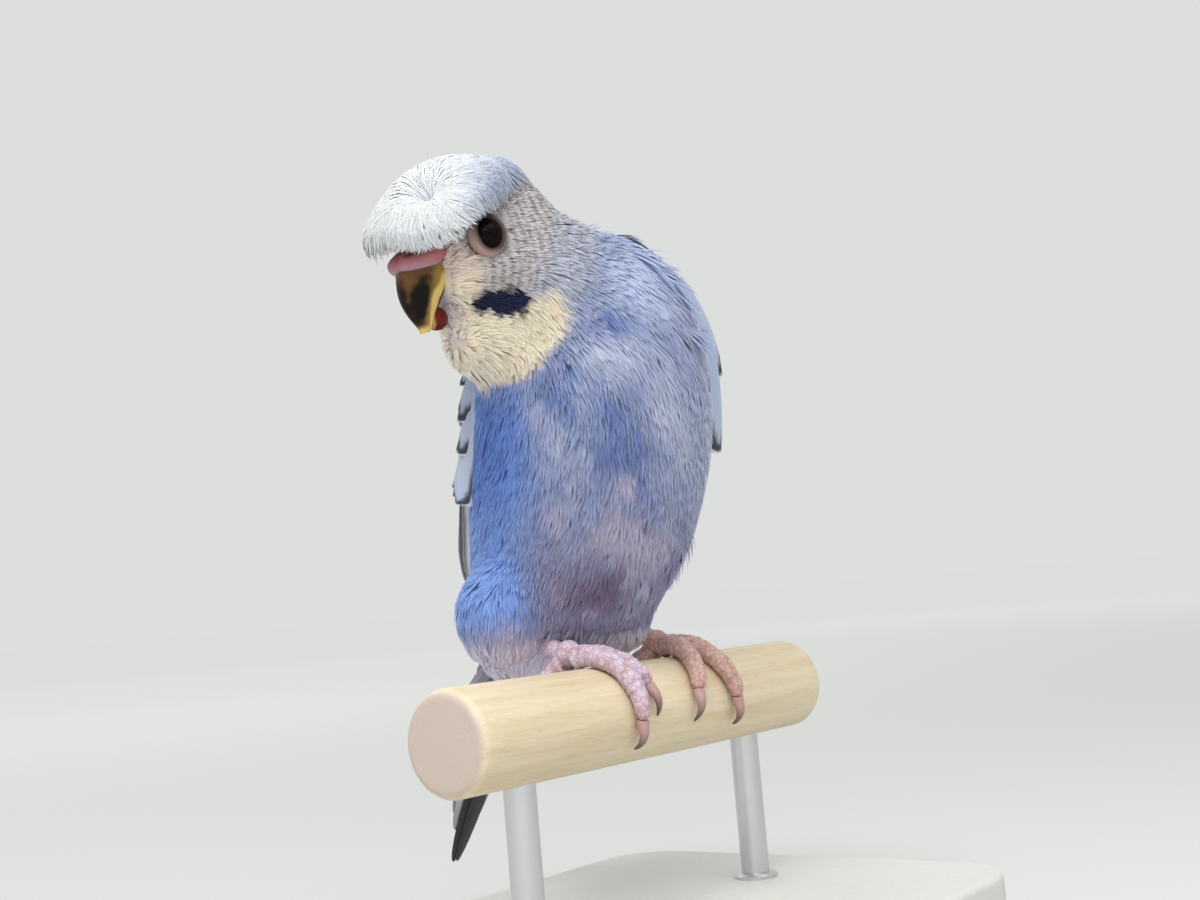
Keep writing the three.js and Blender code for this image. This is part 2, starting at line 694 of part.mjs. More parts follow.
const nestedFlesh = headForm(touchGap).add(neckForm(touchGap)).add(bodyForm(touchGap + 0.1))
  .add(crownBackForm(touchGap)).add(throatForm(touchGap));
const rightFoot = footForm(legs.right);
const leftFoot = footForm(legs.left);
const upperBill = billForm();
const upperBillGap = billForm(touchGap);
const crest = crestForm().subtract(nestedFlesh).subtract(cereForm(touchGap).add(upperBillGap))
  .subtract(lidRim(1, touchGap)).subtract(lidRim(-1, touchGap)).subtract(socket(1)).subtract(socket(-1));

addNode(bird, 'head', headFlesh.add(lidRim(1).subtract(farSide(headCut, -1))).add(lidRim(-1))
  .subtract(socket(1)).subtract(socket(-1)), finish(colours.white));
addNode(bird, 'neck', neckFlesh, finish(colours.white));
addNode(bird, 'torso', torsoFlesh, finish(colours.blue));
addNode(bird, 'crest', crest, finish(colours.crest));
addNode(bird, 'eye_left', ball(eyeCentre(1, eyeDepth), eyeballRadius), finish(colours.eye, 0.1));
addNode(bird, 'eye_right', ball(eyeCentre(-1, eyeDepth), eyeballRadius), finish(colours.eye, 0.1));
addNode(bird, 'bill_upper', upperBill.subtract(headForm(touchGap)).subtract(cereForm(touchGap))
  .subtract(throatForm(touchGap)), finish(colours.horn, 0.45));
addNode(bird, 'bill_lower', lowerBillForm(0).subtract(headForm(touchGap)).subtract(upperBillGap)
  .subtract(neckForm(touchGap)).subtract(throatForm(touchGap)), finish(colours.lowerHorn, 0.5));
const nostrils = [1, -1].map((side) => ball(headPoint(12, 2.3 * side, 1.9), 0.75, 8, 5));
addNode(bird, 'cere', cereForm(0).subtract(headForm(touchGap)).subtract(joined(nostrils)),
  finish(colours.cere, 0.6));
addNode(bird, 'wing_left', wingForm(1).subtract(nestedFlesh), finish(colours.wing));
addNode(bird, 'wing_right', wingForm(-1).subtract(nestedFlesh), finish(colours.wing));
addNode(bird, 'tail', tailForm().subtract(bodyForm(touchGap)), finish(colours.violet));
for (const [name, leg] of Object.entries(legs)) {
  const foot = leg.side > 0 ? leftFoot : rightFoot;
  addNode(bird, `thigh_${name}`, thighForm(leg.side).subtract(nestedFlesh)
    .subtract(footForm(leg, touchGap)), finish(colours.thigh));
  addNode(bird, `foot_${name}`, foot.subtract(bodyForm(touchGap)), finish(colours.flesh, 0.7));
  for (const toe of leg.toes) {
    const claw = limb(clawPath(leg, toe), (t) => mix(0.95, 0.22, t), 6, 4);
    addNode(bird, `claw_${name}_${toe.name}`, claw, finish(colours.claw, 0.5));
  }
}

// Perch: a cut length of dowel with its near end rounded off and its far end sawn square
const perchProfile = [
  new THREE.Vector2(0, -perchLength / 2),
  new THREE.Vector2(perchRadius - perchChamfer, -perchLength / 2),
  new THREE.Vector2(perchRadius - perchChamfer * 0.35, -perchLength / 2 + perchChamfer * 0.35),
  new THREE.Vector2(perchRadius, -perchLength / 2 + perchChamfer),
  new THREE.Vector2(perchRadius, perchLength / 2 - 0.4),
  new THREE.Vector2(perchRadius - 0.4, perchLength / 2),
  new THREE.Vector2(0, perchLength / 2),
];
const perch = new THREE.Mesh(new THREE.LatheGeometry(perchProfile, 32), finish(colours.perch, 0.65));
perch.name = 'perch';
perch.rotation.z = -Math.PI / 2;
bird.add(perch);

// Stand: a flat base with rounded corners, and two short rods up to the perch
const baseOutline = new THREE.Shape();
const halfLength = baseLength / 2;
const halfDepth = baseDepth / 2;
baseOutline.absarc(halfLength - baseCorner, halfDepth - baseCorner, baseCorner, 0, Math.PI / 2);
baseOutline.absarc(baseCorner - halfLength, halfDepth - baseCorner, baseCorner, Math.PI / 2, Math.PI);
baseOutline.absarc(baseCorner - halfLength, baseCorner - halfDepth, baseCorner, Math.PI, 1.5 * Math.PI);
baseOutline.absarc(halfLength - baseCorner, baseCorner - halfDepth, baseCorner, 1.5 * Math.PI, 2 * Math.PI);
const base = new THREE.Mesh(
  new THREE.ExtrudeGeometry(baseOutline, { depth: baseThickness, bevelEnabled: false, curveSegments: 6 }),
  finish(colours.base, 0.5),
);
base.name = 'stand_base';
model.add(base);

const rodBottom = baseThickness + touchGap;
const rodTop = perchHeight - perchRadius - touchGap;
for (const [name, side] of [['stand_rod_right', -1], ['stand_rod_left', 1]]) {
  const rod = new THREE.Mesh(
    new THREE.CylinderGeometry(rodDiameter / 2, rodDiameter / 2, rodTop - rodBottom, 20),
    finish(colours.rod, 0.3, 1),
  );
  rod.name = name;
  rod.rotation.x = Math.PI / 2;
  rod.position.set((side * rodSpacing) / 2, 0, (rodTop + rodBottom) / 2);
  model.add(rod);
}

export default model;
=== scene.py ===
import math

import bpy
import numpy as np
from mathutils import Matrix, Vector, noise
from mathutils.bvhtree import BVHTree


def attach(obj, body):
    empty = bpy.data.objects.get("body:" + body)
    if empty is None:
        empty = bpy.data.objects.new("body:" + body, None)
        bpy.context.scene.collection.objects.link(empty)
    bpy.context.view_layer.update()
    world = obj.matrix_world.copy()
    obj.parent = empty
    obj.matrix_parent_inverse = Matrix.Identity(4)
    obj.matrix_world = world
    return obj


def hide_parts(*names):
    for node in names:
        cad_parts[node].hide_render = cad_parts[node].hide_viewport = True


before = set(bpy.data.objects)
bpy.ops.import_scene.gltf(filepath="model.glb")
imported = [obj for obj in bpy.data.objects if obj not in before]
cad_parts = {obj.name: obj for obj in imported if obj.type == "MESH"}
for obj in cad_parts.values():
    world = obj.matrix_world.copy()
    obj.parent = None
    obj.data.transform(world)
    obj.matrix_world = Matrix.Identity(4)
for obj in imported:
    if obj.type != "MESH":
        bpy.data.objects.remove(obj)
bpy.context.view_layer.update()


# The model is a young crested budgerigar at life size, gripping a cut length of dowel that two
# rods hold over a plain stand. It is seen from low in front, on a pale floor that runs into a
# pale room, under soft even light with a little more from above.
def in_scene(name, data):
    thing = bpy.data.objects.new(name, data)
    bpy.context.scene.collection.objects.link(thing)
    return thing


def mesh_of(name, places, faces, smooth=True):
    mesh = bpy.data.meshes.new(name)
    mesh.from_pydata([tuple(p) for p in places], [], [tuple(int(i) for i in f) for f in faces])
    mesh.update()
    mesh.polygons.foreach_set("use_smooth", [smooth] * len(mesh.polygons))
    return mesh


def set_inputs(tree, node, inputs):
    """Sets inputs of a shader node, or links them where the value is another node's output."""
    for key, value in inputs.items():
        if isinstance(value, bpy.types.NodeSocket):
            tree.links.new(value, node.inputs[key])
        else:
            node.inputs[key].default_value = value


def finish_of(name, colour, roughness, metallic=0.0):
    """A new finish, its tree of shader nodes, and the shader that gives it its face."""
    finish = bpy.data.materials.new(name)
    finish.use_nodes = True
    face = finish.node_tree.nodes["Principled BSDF"]
    set_inputs(finish.node_tree, face, {"Base Color": (*colour, 1), "Roughness": roughness,
                                        "Metallic": metallic})
    return finish, finish.node_tree, face


def node_of(tree, kind, output, inputs=None, **traits):
    """The named output of a new shader node with these inputs and traits."""
    node = tree.nodes.new("ShaderNode" + kind)
    for trait, value in traits.items():
        setattr(node, trait, value)
    set_inputs(tree, node, inputs or {})
    return node.outputs[output]


def ramp_of(tree, share, low, high, ends=(0.0, 1.0), blending="LINEAR"):
    """A colour that runs from low to high as the share runs from one end to the other."""
    ramp = node_of(tree, "ValToRGB", "Color", {"Fac": share})
    stops = ramp.node.color_ramp
    stops.interpolation = blending
    for stop, place, colour in zip(stops.elements, ends, (low, high)):
        stop.position = place
        stop.color = (*colour, 1)
    return ramp


camera_data = bpy.data.cameras.new("camera")
camera_data.sensor_width = 36.0
camera_data.lens = 45.93
camera_data.clip_start = 0.01
camera = in_scene("camera", camera_data)
view_right = Vector((0.6122, -0.78612, -0.08403))
view_down = Vector((0.0254, 0.1258, -0.99172))
view_ahead = Vector((0.7902, 0.605, 0.09702))
turn = Matrix((view_right, -view_down, -view_ahead)).transposed().to_4x4()
camera.matrix_world = Matrix.Translation((-0.2052, -0.1538, 0.0596)) @ turn
bpy.context.scene.camera = camera
bpy.context.scene.view_settings.view_transform = "Standard"

floor_half, floor_height = 40.0, -0.0002
floor_corners = [(x * floor_half, y * floor_half, floor_height)
                 for x, y in ((-1, -1), (1, -1), (1, 1), (-1, 1))]
floor = in_scene("floor", mesh_of("floor", floor_corners, [(0, 1, 2, 3)], smooth=False))
floor_finish, tree, face = finish_of("pale_floor", (0.98, 0.99, 0.99), 1.0)
# The floor is painted darker near the bird and paler far off, painted shade and painted light that
# even out the lamps' light, which falls mostly near the bird while the room's light alone falls far
# off, so that the floor runs into the room
floor_place = node_of(tree, "TexCoord", "Object")
floor_reach = node_of(tree, "VectorMath", "Value", {0: floor_place}, operation="LENGTH")
floor_share = node_of(tree, "Math", "Value", {0: floor_reach, 1: 0.5}, operation="MULTIPLY")
floor_painted_light = ramp_of(tree, floor_share, (0.60, 0.61, 0.60), (0.985, 0.99, 0.99), blending="EASE")
set_inputs(tree, face, {"Base Color": floor_painted_light, "Specular IOR Level": 0.0})
floor.data.materials.append(floor_finish)

room = bpy.data.worlds.new("room")
bpy.context.scene.world = room
room.use_nodes = True
set_inputs(room.node_tree, room.node_tree.nodes["Background"],
           {"Color": (0.98, 1.0, 0.985, 1), "Strength": 0.735})

# Square soft lights that hang level and face straight down: place, size, watts and colour
for name, place, size, watts, colour in (
        ("window", (-0.42, -0.12, 0.66), 0.27, 3.3, (1.0, 0.99, 0.97)),
        ("room_fill", (-0.10, -0.60, 0.62), 0.6, 1.8, (0.97, 0.98, 1.0)),
        ("front_fill", (-0.34, -0.26, 0.30), 0.30, 0.8, (1.0, 1.0, 1.0)),
        ("back_fill", (0.35, 0.60, 0.70), 0.6, 1.6, (1.0, 0.98, 0.96))):
    lamp = bpy.data.lights.new(name, "AREA")
    lamp.size = size
    lamp.energy = watts
    lamp.color = colour
    in_scene(name, lamp).location = place


# The stand is a display base: a flat board with rounded corners, painted matt grey-white, and
# two turned steel rods let into it that carry the dowel just high enough for the hanging tail.
# Lengths are in millimetres, and over the base they count from the dowel's axis.
MM = 0.001
perch_height = 41.0


def in_place(points):
    points = np.asarray(points, float)
    return (points + np.array([0.0, 0.0, perch_height])) * MM


def ring_faces(rows, around, closed_ends=True):
    """Faces of a tube of rings, and the flat ends that close it."""
    faces = []
    for row in range(rows - 1):
        for i in range(around):
            j = (i + 1) % around
            faces.append((row * around + i, row * around + j,
                          (row + 1) * around + j, (row + 1) * around + i))
    if closed_ends:
        faces.append(tuple(range(around))[::-1])
        faces.append(tuple((rows - 1) * around + i for i in range(around)))
    return faces


def fit_piece(name, mesh, finish, slot, *solids):
    """A piece of the model in its finish, in place of the named solids where there are any."""
    piece = in_scene(name, mesh)
    mesh.materials.append(finish)
    if solids:
        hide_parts(*solids)
    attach(piece, "root")
    return piece


def bump_of(tree, height, strength, distance):
    return node_of(tree, "Bump", "Normal",
                   {"Height": height, "Strength": strength, "Distance": distance})


base_length, base_depth, base_thickness, base_corner = 104.0, 84.0, 8.0, 12.0
edge_round, foot_round, edge_steps, corner_steps = 1.2, 0.5, 6, 8
base_places = []
for step in range(2 * edge_steps + 1):
    slope = math.pi / 2 * abs(step - edge_steps) / edge_steps
    inset = edge_round * (1 - math.cos(slope)) * (0.5 if step < edge_steps else 1.0)
    height = base_thickness - edge_round * (1 - math.sin(slope))
    if step < edge_steps:
        height = foot_round * (1 - math.sin(slope))
    reach = base_corner - inset
    for quarter, (sx, sy) in enumerate(((1, 1), (-1, 1), (-1, -1), (1, -1))):
        for k in range(corner_steps + 1):
            angle = math.pi / 2 * (quarter + k / corner_steps)
            base_places.append((sx * (base_length / 2 - base_corner) + reach * math.cos(angle),
                                sy * (base_depth / 2 - base_corner) + reach * math.sin(angle), height))
base_mesh = mesh_of("base_board", np.array(base_places) * MM,
                    ring_faces(2 * edge_steps + 1, 4 * (corner_steps + 1)), smooth=False)
base_finish, tree, face = finish_of("matt_grey_paint", (0.62, 0.62, 0.60), 0.55)
paint_grit = node_of(tree, "TexNoise", "Fac", {"Scale": 2600, "Detail": 3})
paint_cloud = node_of(tree, "TexNoise", "Fac", {"Scale": 60})
set_inputs(tree, face, {"Base Color": ramp_of(tree, paint_cloud, (0.56, 0.56, 0.54), (0.66, 0.66, 0.64)),
                        "Normal": bump_of(tree, paint_grit, 0.12, 0.0002)})
fit_piece("base_board", base_mesh, base_finish, "stand_wood", "stand_base")

rod_radius, collar_radius, rod_spacing, rod_around = 2.5, 3.9, 62.0, 40
rod_bottom, rod_top = base_thickness - 1.0, perch_height - 8.0 + 0.6
rod_profile = [(0.0, collar_radius), (0.9, collar_radius), (1.5, collar_radius), (1.9, 3.5),
               (2.0, rod_radius), (rod_top - rod_bottom, rod_radius)]
steel_finish, tree, face = finish_of("brushed_steel", (0.62, 0.62, 0.63), 0.32, 1.0)
lathe_place = node_of(tree, "Mapping", "Vector", {"Vector": node_of(tree, "TexCoord", "Object"),
                                                  "Scale": (120, 120, 6000)})
lathe_marks = node_of(tree, "TexNoise", "Fac", {"Vector": lathe_place, "Scale": 1.0})
set_inputs(tree, face, {"Roughness": node_of(tree, "MapRange", "Result", {
    "Value": lathe_marks, "To Min": 0.24, "To Max": 0.42})})
for side, name in ((-1, "right"), (1, "left")):
    rod_places = []
    for height, radius in rod_profile:
        for i in range(rod_around):
            angle = 2 * math.pi * i / rod_around
            rod_places.append((side * rod_spacing / 2 + radius * math.cos(angle),
                               radius * math.sin(angle), rod_bottom + height))
    rod_mesh = mesh_of(f"rod_{name}_turned", np.array(rod_places) * MM,
                       ring_faces(len(rod_profile), rod_around))
    rod_mesh.set_sharp_from_angle(angle=math.radians(35))
    fit_piece(f"rod_{name}_turned", rod_mesh, steel_finish, "stand_steel", f"stand_rod_{name}")


# The perch is a cut length of pale beech dowel. Its near end is rounded off by sanding, which
# roughens the grain round the rim, and its far end is sawn square. The rods hold it from below.
perch_radius, perch_length, perch_chamfer, perch_around = 8.0, 93.0, 1.6, 96
near_end, far_end = -perch_length / 2, perch_length / 2
chamfer_steps, wood_inset, wood_wander = 8, 0.05, 0.05
perch_profile = [(near_end, perch_radius - perch_chamfer - 0.1)]
for k in range(1, chamfer_steps + 1):
    slope = math.pi / 2 * k / chamfer_steps
    perch_profile.append((near_end + perch_chamfer * (1 - math.cos(slope)),
                          perch_radius - perch_chamfer * (1 - math.sin(slope))))
perch_profile += [(x, perch_radius) for x in np.linspace(-42, 45.4, 40)]
perch_profile += [(far_end - 0.5, perch_radius), (far_end - 0.15, perch_radius - 0.15),
                  (far_end, perch_radius - 0.5)]
perch_places = []
for x, radius in perch_profile:
    for i in range(perch_around):
        angle = 2 * math.pi * i / perch_around
        wander = wood_wander * math.sin(3 * angle + x * 0.05) if radius == perch_radius else 0.0
        reach = radius - wood_inset + wander
        perch_places.append((x, reach * math.cos(angle), reach * math.sin(angle)))
perch_mesh = mesh_of("dowel", in_place(perch_places), ring_faces(len(perch_profile), perch_around))
perch_mesh.set_sharp_from_angle(angle=math.radians(50))
perch_finish, tree, face = finish_of("beech_dowel", (0.80, 0.66, 0.44), 0.55)
wood_place = node_of(tree, "TexCoord", "Object")
grain_place = node_of(tree, "Mapping", "Vector", {"Vector": wood_place, "Scale": (30, 420, 420)})
grain = node_of(tree, "TexNoise", "Fac",
                {"Vector": grain_place, "Scale": 1.0, "Detail": 6, "Roughness": 0.62})
fleck_place = node_of(tree, "Mapping", "Vector", {"Vector": wood_place, "Scale": (330, 2600, 2600)})
flecks = node_of(tree, "TexNoise", "Fac", {"Vector": fleck_place, "Scale": 1.0, "Detail": 2})
wood = node_of(tree, "Mix", "Result", {
    "Factor": 0.35,
    "A": ramp_of(tree, grain, (0.60, 0.46, 0.28), (0.72, 0.635, 0.465), ends=(0.25, 0.72)),
    "B": ramp_of(tree, flecks, (0.80, 0.72, 0.60), (1, 1, 1), ends=(0.30, 0.46)),
}, data_type="RGBA", blend_type="MULTIPLY")
wood_along = node_of(tree, "SeparateXYZ", "X", {"Vector": wood_place})
at_near_end = node_of(tree, "MapRange", "Result", {
    "Value": wood_along, "From Min": (near_end + 0.1) * MM, "From Max": (near_end + 0.6) * MM,
    "To Min": 1.0, "To Max": 0.0})
end_grain = node_of(tree, "TexNoise", "Fac", {"Scale": 900, "Detail": 5})
end_tone = ramp_of(tree, end_grain, (0.43, 0.34, 0.285), (0.57, 0.475, 0.42), ends=(0.35, 0.62))
set_inputs(tree, face, {
    "Base Color": node_of(tree, "Mix", "Result", {"Factor": at_near_end, "A": wood, "B": end_tone},
                          data_type="RGBA"),
    "Normal": bump_of(tree, flecks, 0.35, 0.0002)})
fit_piece("dowel", perch_mesh, perch_finish, "perch_wood", "perch")


# The skin is one surface under the plumage of head, neck, body and thighs. It follows the modelled
# flesh, smoothed where its parts meet, and lies inside it by the depth of the feathers. It is
# coloured as the feathers over it are, a little darker as painted shade under them, so that none
# shows through as a gap.
def unit(v):
    v = np.asarray(v, float)
    return v / np.maximum(np.linalg.norm(v, axis=-1, keepdims=True), 1e-12)


def bird_frame(yaw, pitch=0.0, roll=0.0):
    """Forward, left and up of a part of the bird, by its turn to the right, dip and roll in degrees."""
    yaw, pitch, roll = np.radians([yaw, pitch, roll])
    forward = np.array([-math.sin(yaw) * math.cos(pitch), -math.cos(yaw) * math.cos(pitch),
                        -math.sin(pitch)])
    level = np.array([math.cos(yaw), -math.sin(yaw), 0.0])
    upright = unit(np.cross(forward, level))
    left = level * math.cos(roll) + upright * math.sin(roll)
    return forward, left, unit(np.cross(forward, left))


def ease(value, low, high):
    """0 below low, 1 above high and a smooth step between, or the other way round."""
    t = np.clip((np.asarray(value, float) - low) / (high - low), 0, 1)
    return t * t * (3 - 2 * t)


def blend(a, b, share):
    share = np.asarray(share, float)
    return a * (1 - share[..., None]) + b * share[..., None]


def tone(red, green, blue):
    """A colour as it looks on a screen, from 0 to 255, turned into light."""
    c = np.array([red, green, blue]) / 255.0
    return np.where(c <= 0.04045, c / 12.92, ((c + 0.055) / 1.055) ** 2.4)


def clouds(points, size, seed):
    """Soft random patches of about that size in millimetres, from -1 to 1."""
    offset = Vector((seed * 17.3, seed * 5.1, seed * 9.7))
    scaled = np.asarray(points, float) / size
    values = [noise.noise(Vector(p) + offset) for p in scaled.reshape(-1, 3)]
    return np.array(values).reshape(scaled.shape[:-1])


head_centre = np.array([-28.5, 5.0, 74.5])
head_turn, body_turn = 99, 43
head_forward, head_left, head_up = bird_frame(head_turn, 16)
neck_direction = unit([-0.82, 0.22, 0.53])
body_forward, body_left = bird_frame(body_turn)[:2]


def head_point(forward, left, up):
    return (head_centre + np.multiply.outer(forward, head_forward)
            + np.multiply.outer(left, head_left) + np.multiply.outer(up, head_up))


def head_places(points):
    away = np.asarray(points, float) - head_centre
    return away @ head_forward, away @ head_left, away @ head_up


sky_blue = tone(106, 140, 208)
breast_blue = tone(126, 140, 178)
flank_blue = tone(74, 110, 190)
deep_blue = tone(86, 106, 162)
mist = tone(184, 190, 210)
rose_mist = tone(192, 180, 198)
violet = tone(138, 130, 160)
belly_violet = tone(108, 93, 118)
pink_white = tone(224, 213, 232)
pale_shoulder = tone(178, 192, 220)
face_white = tone(189, 183, 182)
nape_white = tone(170, 176, 192)
bar_grey = tone(98, 90, 94)
bib_cream = tone(240, 225, 198)
throat_lilac = tone(206, 196, 208)
bare_face = tone(216, 190, 178)
cheek_violet = tone(18, 22, 42)
mantle_grey = tone(120, 130, 160)
body_middle = np.array([-3.5, 3.5, 45])
bar_spacing = 1.32
# Soft patches of paler, rosy, deep blue and violet feathers on the breast and belly: the middle of
# each, its reach along the body and across, and how strong it is
patches = [
    (deep_blue, (-22.8, -6.6, 49.4), 5.0, 4.0, 0.8), (deep_blue, (-17.8, -13.3, 46.2), 4.0, 3.4, 0.75),
    (deep_blue, (-13.6, -15.5, 42.9), 4.0, 3.4, 0.85), (deep_blue, (-17.0, -12.5, 40.6), 3.4, 4.6, 0.8),
    (deep_blue, (-22.6, -7.4, 53.5), 4.0, 5.5, 0.7), (deep_blue, (-12.2, -12.5, 36.5), 3.4, 3.0, 0.6),
    (mist, (-16.4, -15.1, 55.6), 4.6, 5.5, 0.85), (mist, (-19.6, -12.5, 56.0), 3.0, 4.0, 0.7),
    (mist, (-8.4, -17.9, 44.8), 4.2, 3.4, 0.85), (mist, (-4.5, -17.0, 39.5), 5.6, 2.6, 0.75),
    (mist, (-22.2, -5.1, 42.4), 6.0, 2.2, 0.55), (rose_mist, (-23.4, -2.9, 48.0), 2.4, 2.0, 0.5),
    (rose_mist, (-14.3, -11.9, 34.3), 3.8, 2.4, 0.85), (rose_mist, (-13.2, -9.1, 28.4), 4.6, 4.6, 0.65),
    (rose_mist, (-20.1, -2.0, 31.2), 3.8, 2.6, 0.45), (rose_mist, (-6.0, -10.0, 25.0), 4.6, 6.0, 0.6),
    (belly_violet, (-11.5, -4.0, 19.6), 4.4, 7.0, 0.9), (rose_mist, (-15.9, 2.6, 17.6), 4.2, 1.5, 0.95),
    (sky_blue, (-25.3, 15.6, 20.5), 5.0, 3.2, 0.95), (pale_shoulder, (-9.8, -15.6, 66.5), 8.0, 7.0, 0.9),
    (rose_mist, (-19.0, 11.5, 12.5), 5.0, 6.0, 0.85), (deep_blue, (-17.6, -14.3, 60.5), 3.4, 4.0, 0.85),
    (mist, (-9.5, -17.5, 48.5), 8.0, 4.5, 0.6),
]


def body_colour(points):
    """Blue and violet with soft patches and speckles, greyer on the back and pink under the belly."""
    across, z = points @ body_left, points[..., 2]
    large = clouds(points * np.array([1, 1, 0.62]), 7.5, 1)
    small = clouds(points * np.array([1, 1, 0.5]), 3.2, 2)
    fine = clouds(points * np.array([1, 1, 0.35]), 1.3, 3)
    wander = 1.6 * large + 0.9 * small
    colour = blend(breast_blue, sky_blue, ease(across + 0.6 * wander, -12.5, -21.0) * 0.92)
    colour = blend(colour, flank_blue, 0.85 * ease(across + 0.6 * wander, -15.5, -20.5) * ease(z, 29, 40))
    colour = blend(colour, violet, ease(z + 2 * large, 38, 20) * 0.75 * ease(across, -21, -13))
    colour = blend(colour, mist, ease(across + wander, 2.0, 13.0) * ease(z, 22, 34) * 0.5)
    for patch_tone, middle, tall, wide, strength in patches:
        away = points - np.array(middle)
        far = np.sqrt((away[..., 2] / tall) ** 2 + (away[..., :2] ** 2).sum(-1) / wide ** 2)
        colour = blend(colour, patch_tone, strength * ease(far + 0.30 * small + 0.22 * fine, 1.25, 0.35))
    speckle = ease(0.55 * large + 0.6 * small + 0.45 * fine, 0.12, 0.55) * ease(across, -19, -12)
    colour = blend(colour, mist, 0.42 * speckle)
    colour = colour * (1 + 0.05 * fine + 0.05 * small)[..., None]
    back = ease((points - body_middle) @ body_forward, -8, -16)
    colour = blend(colour, mantle_grey, back * 0.55)
    return blend(colour, pink_white, ease(z + 1.2 * small, 14.5, 9.5) * 0.85)


def plumage(points):
    """The plumage's colour at places on the bird: the body's, the barred white head, the cream bib."""
    points = np.asarray(points, float)
    colour = body_colour(points)
    forward, left, up = head_places(points)
    along_neck = (points - head_centre) @ neck_direction
    ragged = 0.9 * clouds(points, 1.3, 4) + 0.9 * clouds(points, 3.5, 5)
    side = np.abs(left)
    # The head's white starts ragged along the neck
    headness = ease(along_neck + ragged, -18.5, -12.0)
    white = blend(face_white, nape_white, ease(along_neck, -5.0, -11.0))
    colour = colour * (1 - headness[..., None]) + white * headness[..., None]
    # Bars run across the lie, upright behind the eye and in arcs round the face below it
    reach = np.linalg.norm(points - head_point(9.0, 0 * up, np.clip(up, -2.0, 7.0)), axis=-1)
    wave = reach + 0.45 * clouds(points, 2.0, 6) + 0.35 * clouds(points, 5.0, 7)
    bars = ease(np.cos(2 * math.pi * wave / bar_spacing) + 0.5 * clouds(points, 0.9, 10), 0.0, 0.9)
    barred = headness * ease(reach, 6.0, 9.5) * ease(up, -11.0, -8.0)
    behind = ease(-forward, 0, 7) * ease(up, -4, 4)
    colour = blend(colour, bar_grey, bars * barred * (0.62 + 0.33 * behind))
    # Thin feathers let the skin show between the bill and each eye
    bald = np.sqrt(((forward - 7.6) / 3.0) ** 2 + ((side - 7.2) / 3.0) ** 2 + ((up + 1.6) / 3.4) ** 2)
    colour = blend(colour, bare_face, headness * ease(bald, 1.2, 0.7) * 0.8)
    # The cream bib under the jaw, lilac toward the bill, with a few grey flecks
    low_edge = -21.2 + 4.5 * np.clip((side - 4) / 8, 0, 2) ** 2
    under_jaw = ease(up, -8.6, -11.2) + ease(forward, 2.5, 5.5) * ease(up, -1.0, -5.5)
    bib = np.clip(under_jaw, 0, 1) * ease(up + ragged, low_edge - 0.9, low_edge + 0.9)
    bib = bib * ease(side + 0.5 * ragged, 13.2, 11.2) * ease(along_neck, -20, -16)
    cream = blend(bib_cream, throat_lilac,
                  ease(forward + 0.3 * up + ragged, 0.5, 3.5) * ease(left, 5.0, 0.0) * 0.85)
    colour = blend(colour, cream, bib)
    fleck = ease(clouds(points * np.array([1, 1, 2.2]), 1.5, 12), 0.52, 0.66)
    colour = blend(colour, bar_grey, bib * fleck * 0.5)
    # The flat violet patch on the cheek, with a ragged lower edge
    ahead, out = forward - 1.4, side - 7.6
    low = up + 8.5 - 0.34 * ahead
    patch = np.sqrt((ahead / 3.9) ** 2 + (low / np.where(low < 0, 2.3, 1.5)) ** 2 + (out / 5.2) ** 2)
    ragged_edge = 0.5 * ease(low, 0.3, -0.6) * clouds(points * np.array([1, 1, 0.3]), 1.1, 9)
    patch = patch + 0.2 * clouds(points, 0.9, 8) + ragged_edge
    return blend(colour, cheek_violet, ease(patch, 1.2, 0.98))


def keep_colours(mesh, colours):
    layer = mesh.attributes.new("plume", "FLOAT_COLOR", "POINT")
    rgba = np.ones((len(mesh.vertices), 4), np.float32)
    rgba[:, :3] = np.clip(colours, 0, 1)
    layer.data.foreach_set("color", rgba.ravel())


def places_of(mesh):
    """The places of a mesh's corners in millimetres, counted from the dowel's axis."""
    co = np.empty(len(mesh.vertices) * 3)
    mesh.vertices.foreach_get("co", co)
    return co.reshape(-1, 3) / MM - np.array([0, 0, perch_height])


def fused(name, mesh, voxel, swell=0.0, smoothing=0):
    """One closed surface round all the closed shapes of a mesh, remeshed at the voxel size in metres."""
    rough = in_scene(name, mesh)
    rough.modifiers.new("weld", "WELD").merge_threshold = 0.00001
    if swell:
        puff = rough.modifiers.new("puff", "DISPLACE")
        puff.strength = swell
        puff.mid_level = 0.0
    fuse = rough.modifiers.new("fuse", "REMESH")
    fuse.mode = "VOXEL"
    fuse.voxel_size = voxel
    if smoothing:
        rough.modifiers.new("soften", "SMOOTH").iterations = smoothing
    bpy.context.view_layer.update()
    graph = bpy.context.evaluated_depsgraph_get()
    whole = bpy.data.meshes.new_from_object(rough.evaluated_get(graph))
    bpy.data.objects.remove(rough)
    whole.materials.clear()
    whole.polygons.foreach_set("use_smooth", [True] * len(whole.polygons))
    return whole


flesh_names = ("head", "neck", "torso", "thigh_left", "thigh_right")
flesh_places, flesh_faces, count = [], [], 0
for name in flesh_names:
    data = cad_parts[name].data
    flesh_places.append(in_place(places_of(data)))
    flesh_faces += [tuple(count + v for v in polygon.vertices) for polygon in data.polygons]
    count += len(data.vertices)
flesh_mesh = mesh_of("flesh", np.vstack(flesh_places), flesh_faces)
skin_voxel, skin_swell = 0.00065, 0.0003
skin_mesh = fused("flesh", flesh_mesh, skin_voxel, swell=skin_swell)
skin_places = places_of(skin_mesh)
skin_edges = np.empty(len(skin_mesh.edges) * 2, np.int64)
skin_mesh.edges.foreach_get("vertices", skin_edges)
skin_edges = skin_edges.reshape(-1, 2)
both_ways = np.vstack([skin_edges, skin_edges[:, ::-1]])
neighbours = np.maximum(np.bincount(both_ways[:, 0], minlength=len(skin_places)), 1)[:, None]
smoothing_passes, smoothing_share = 36, 0.6
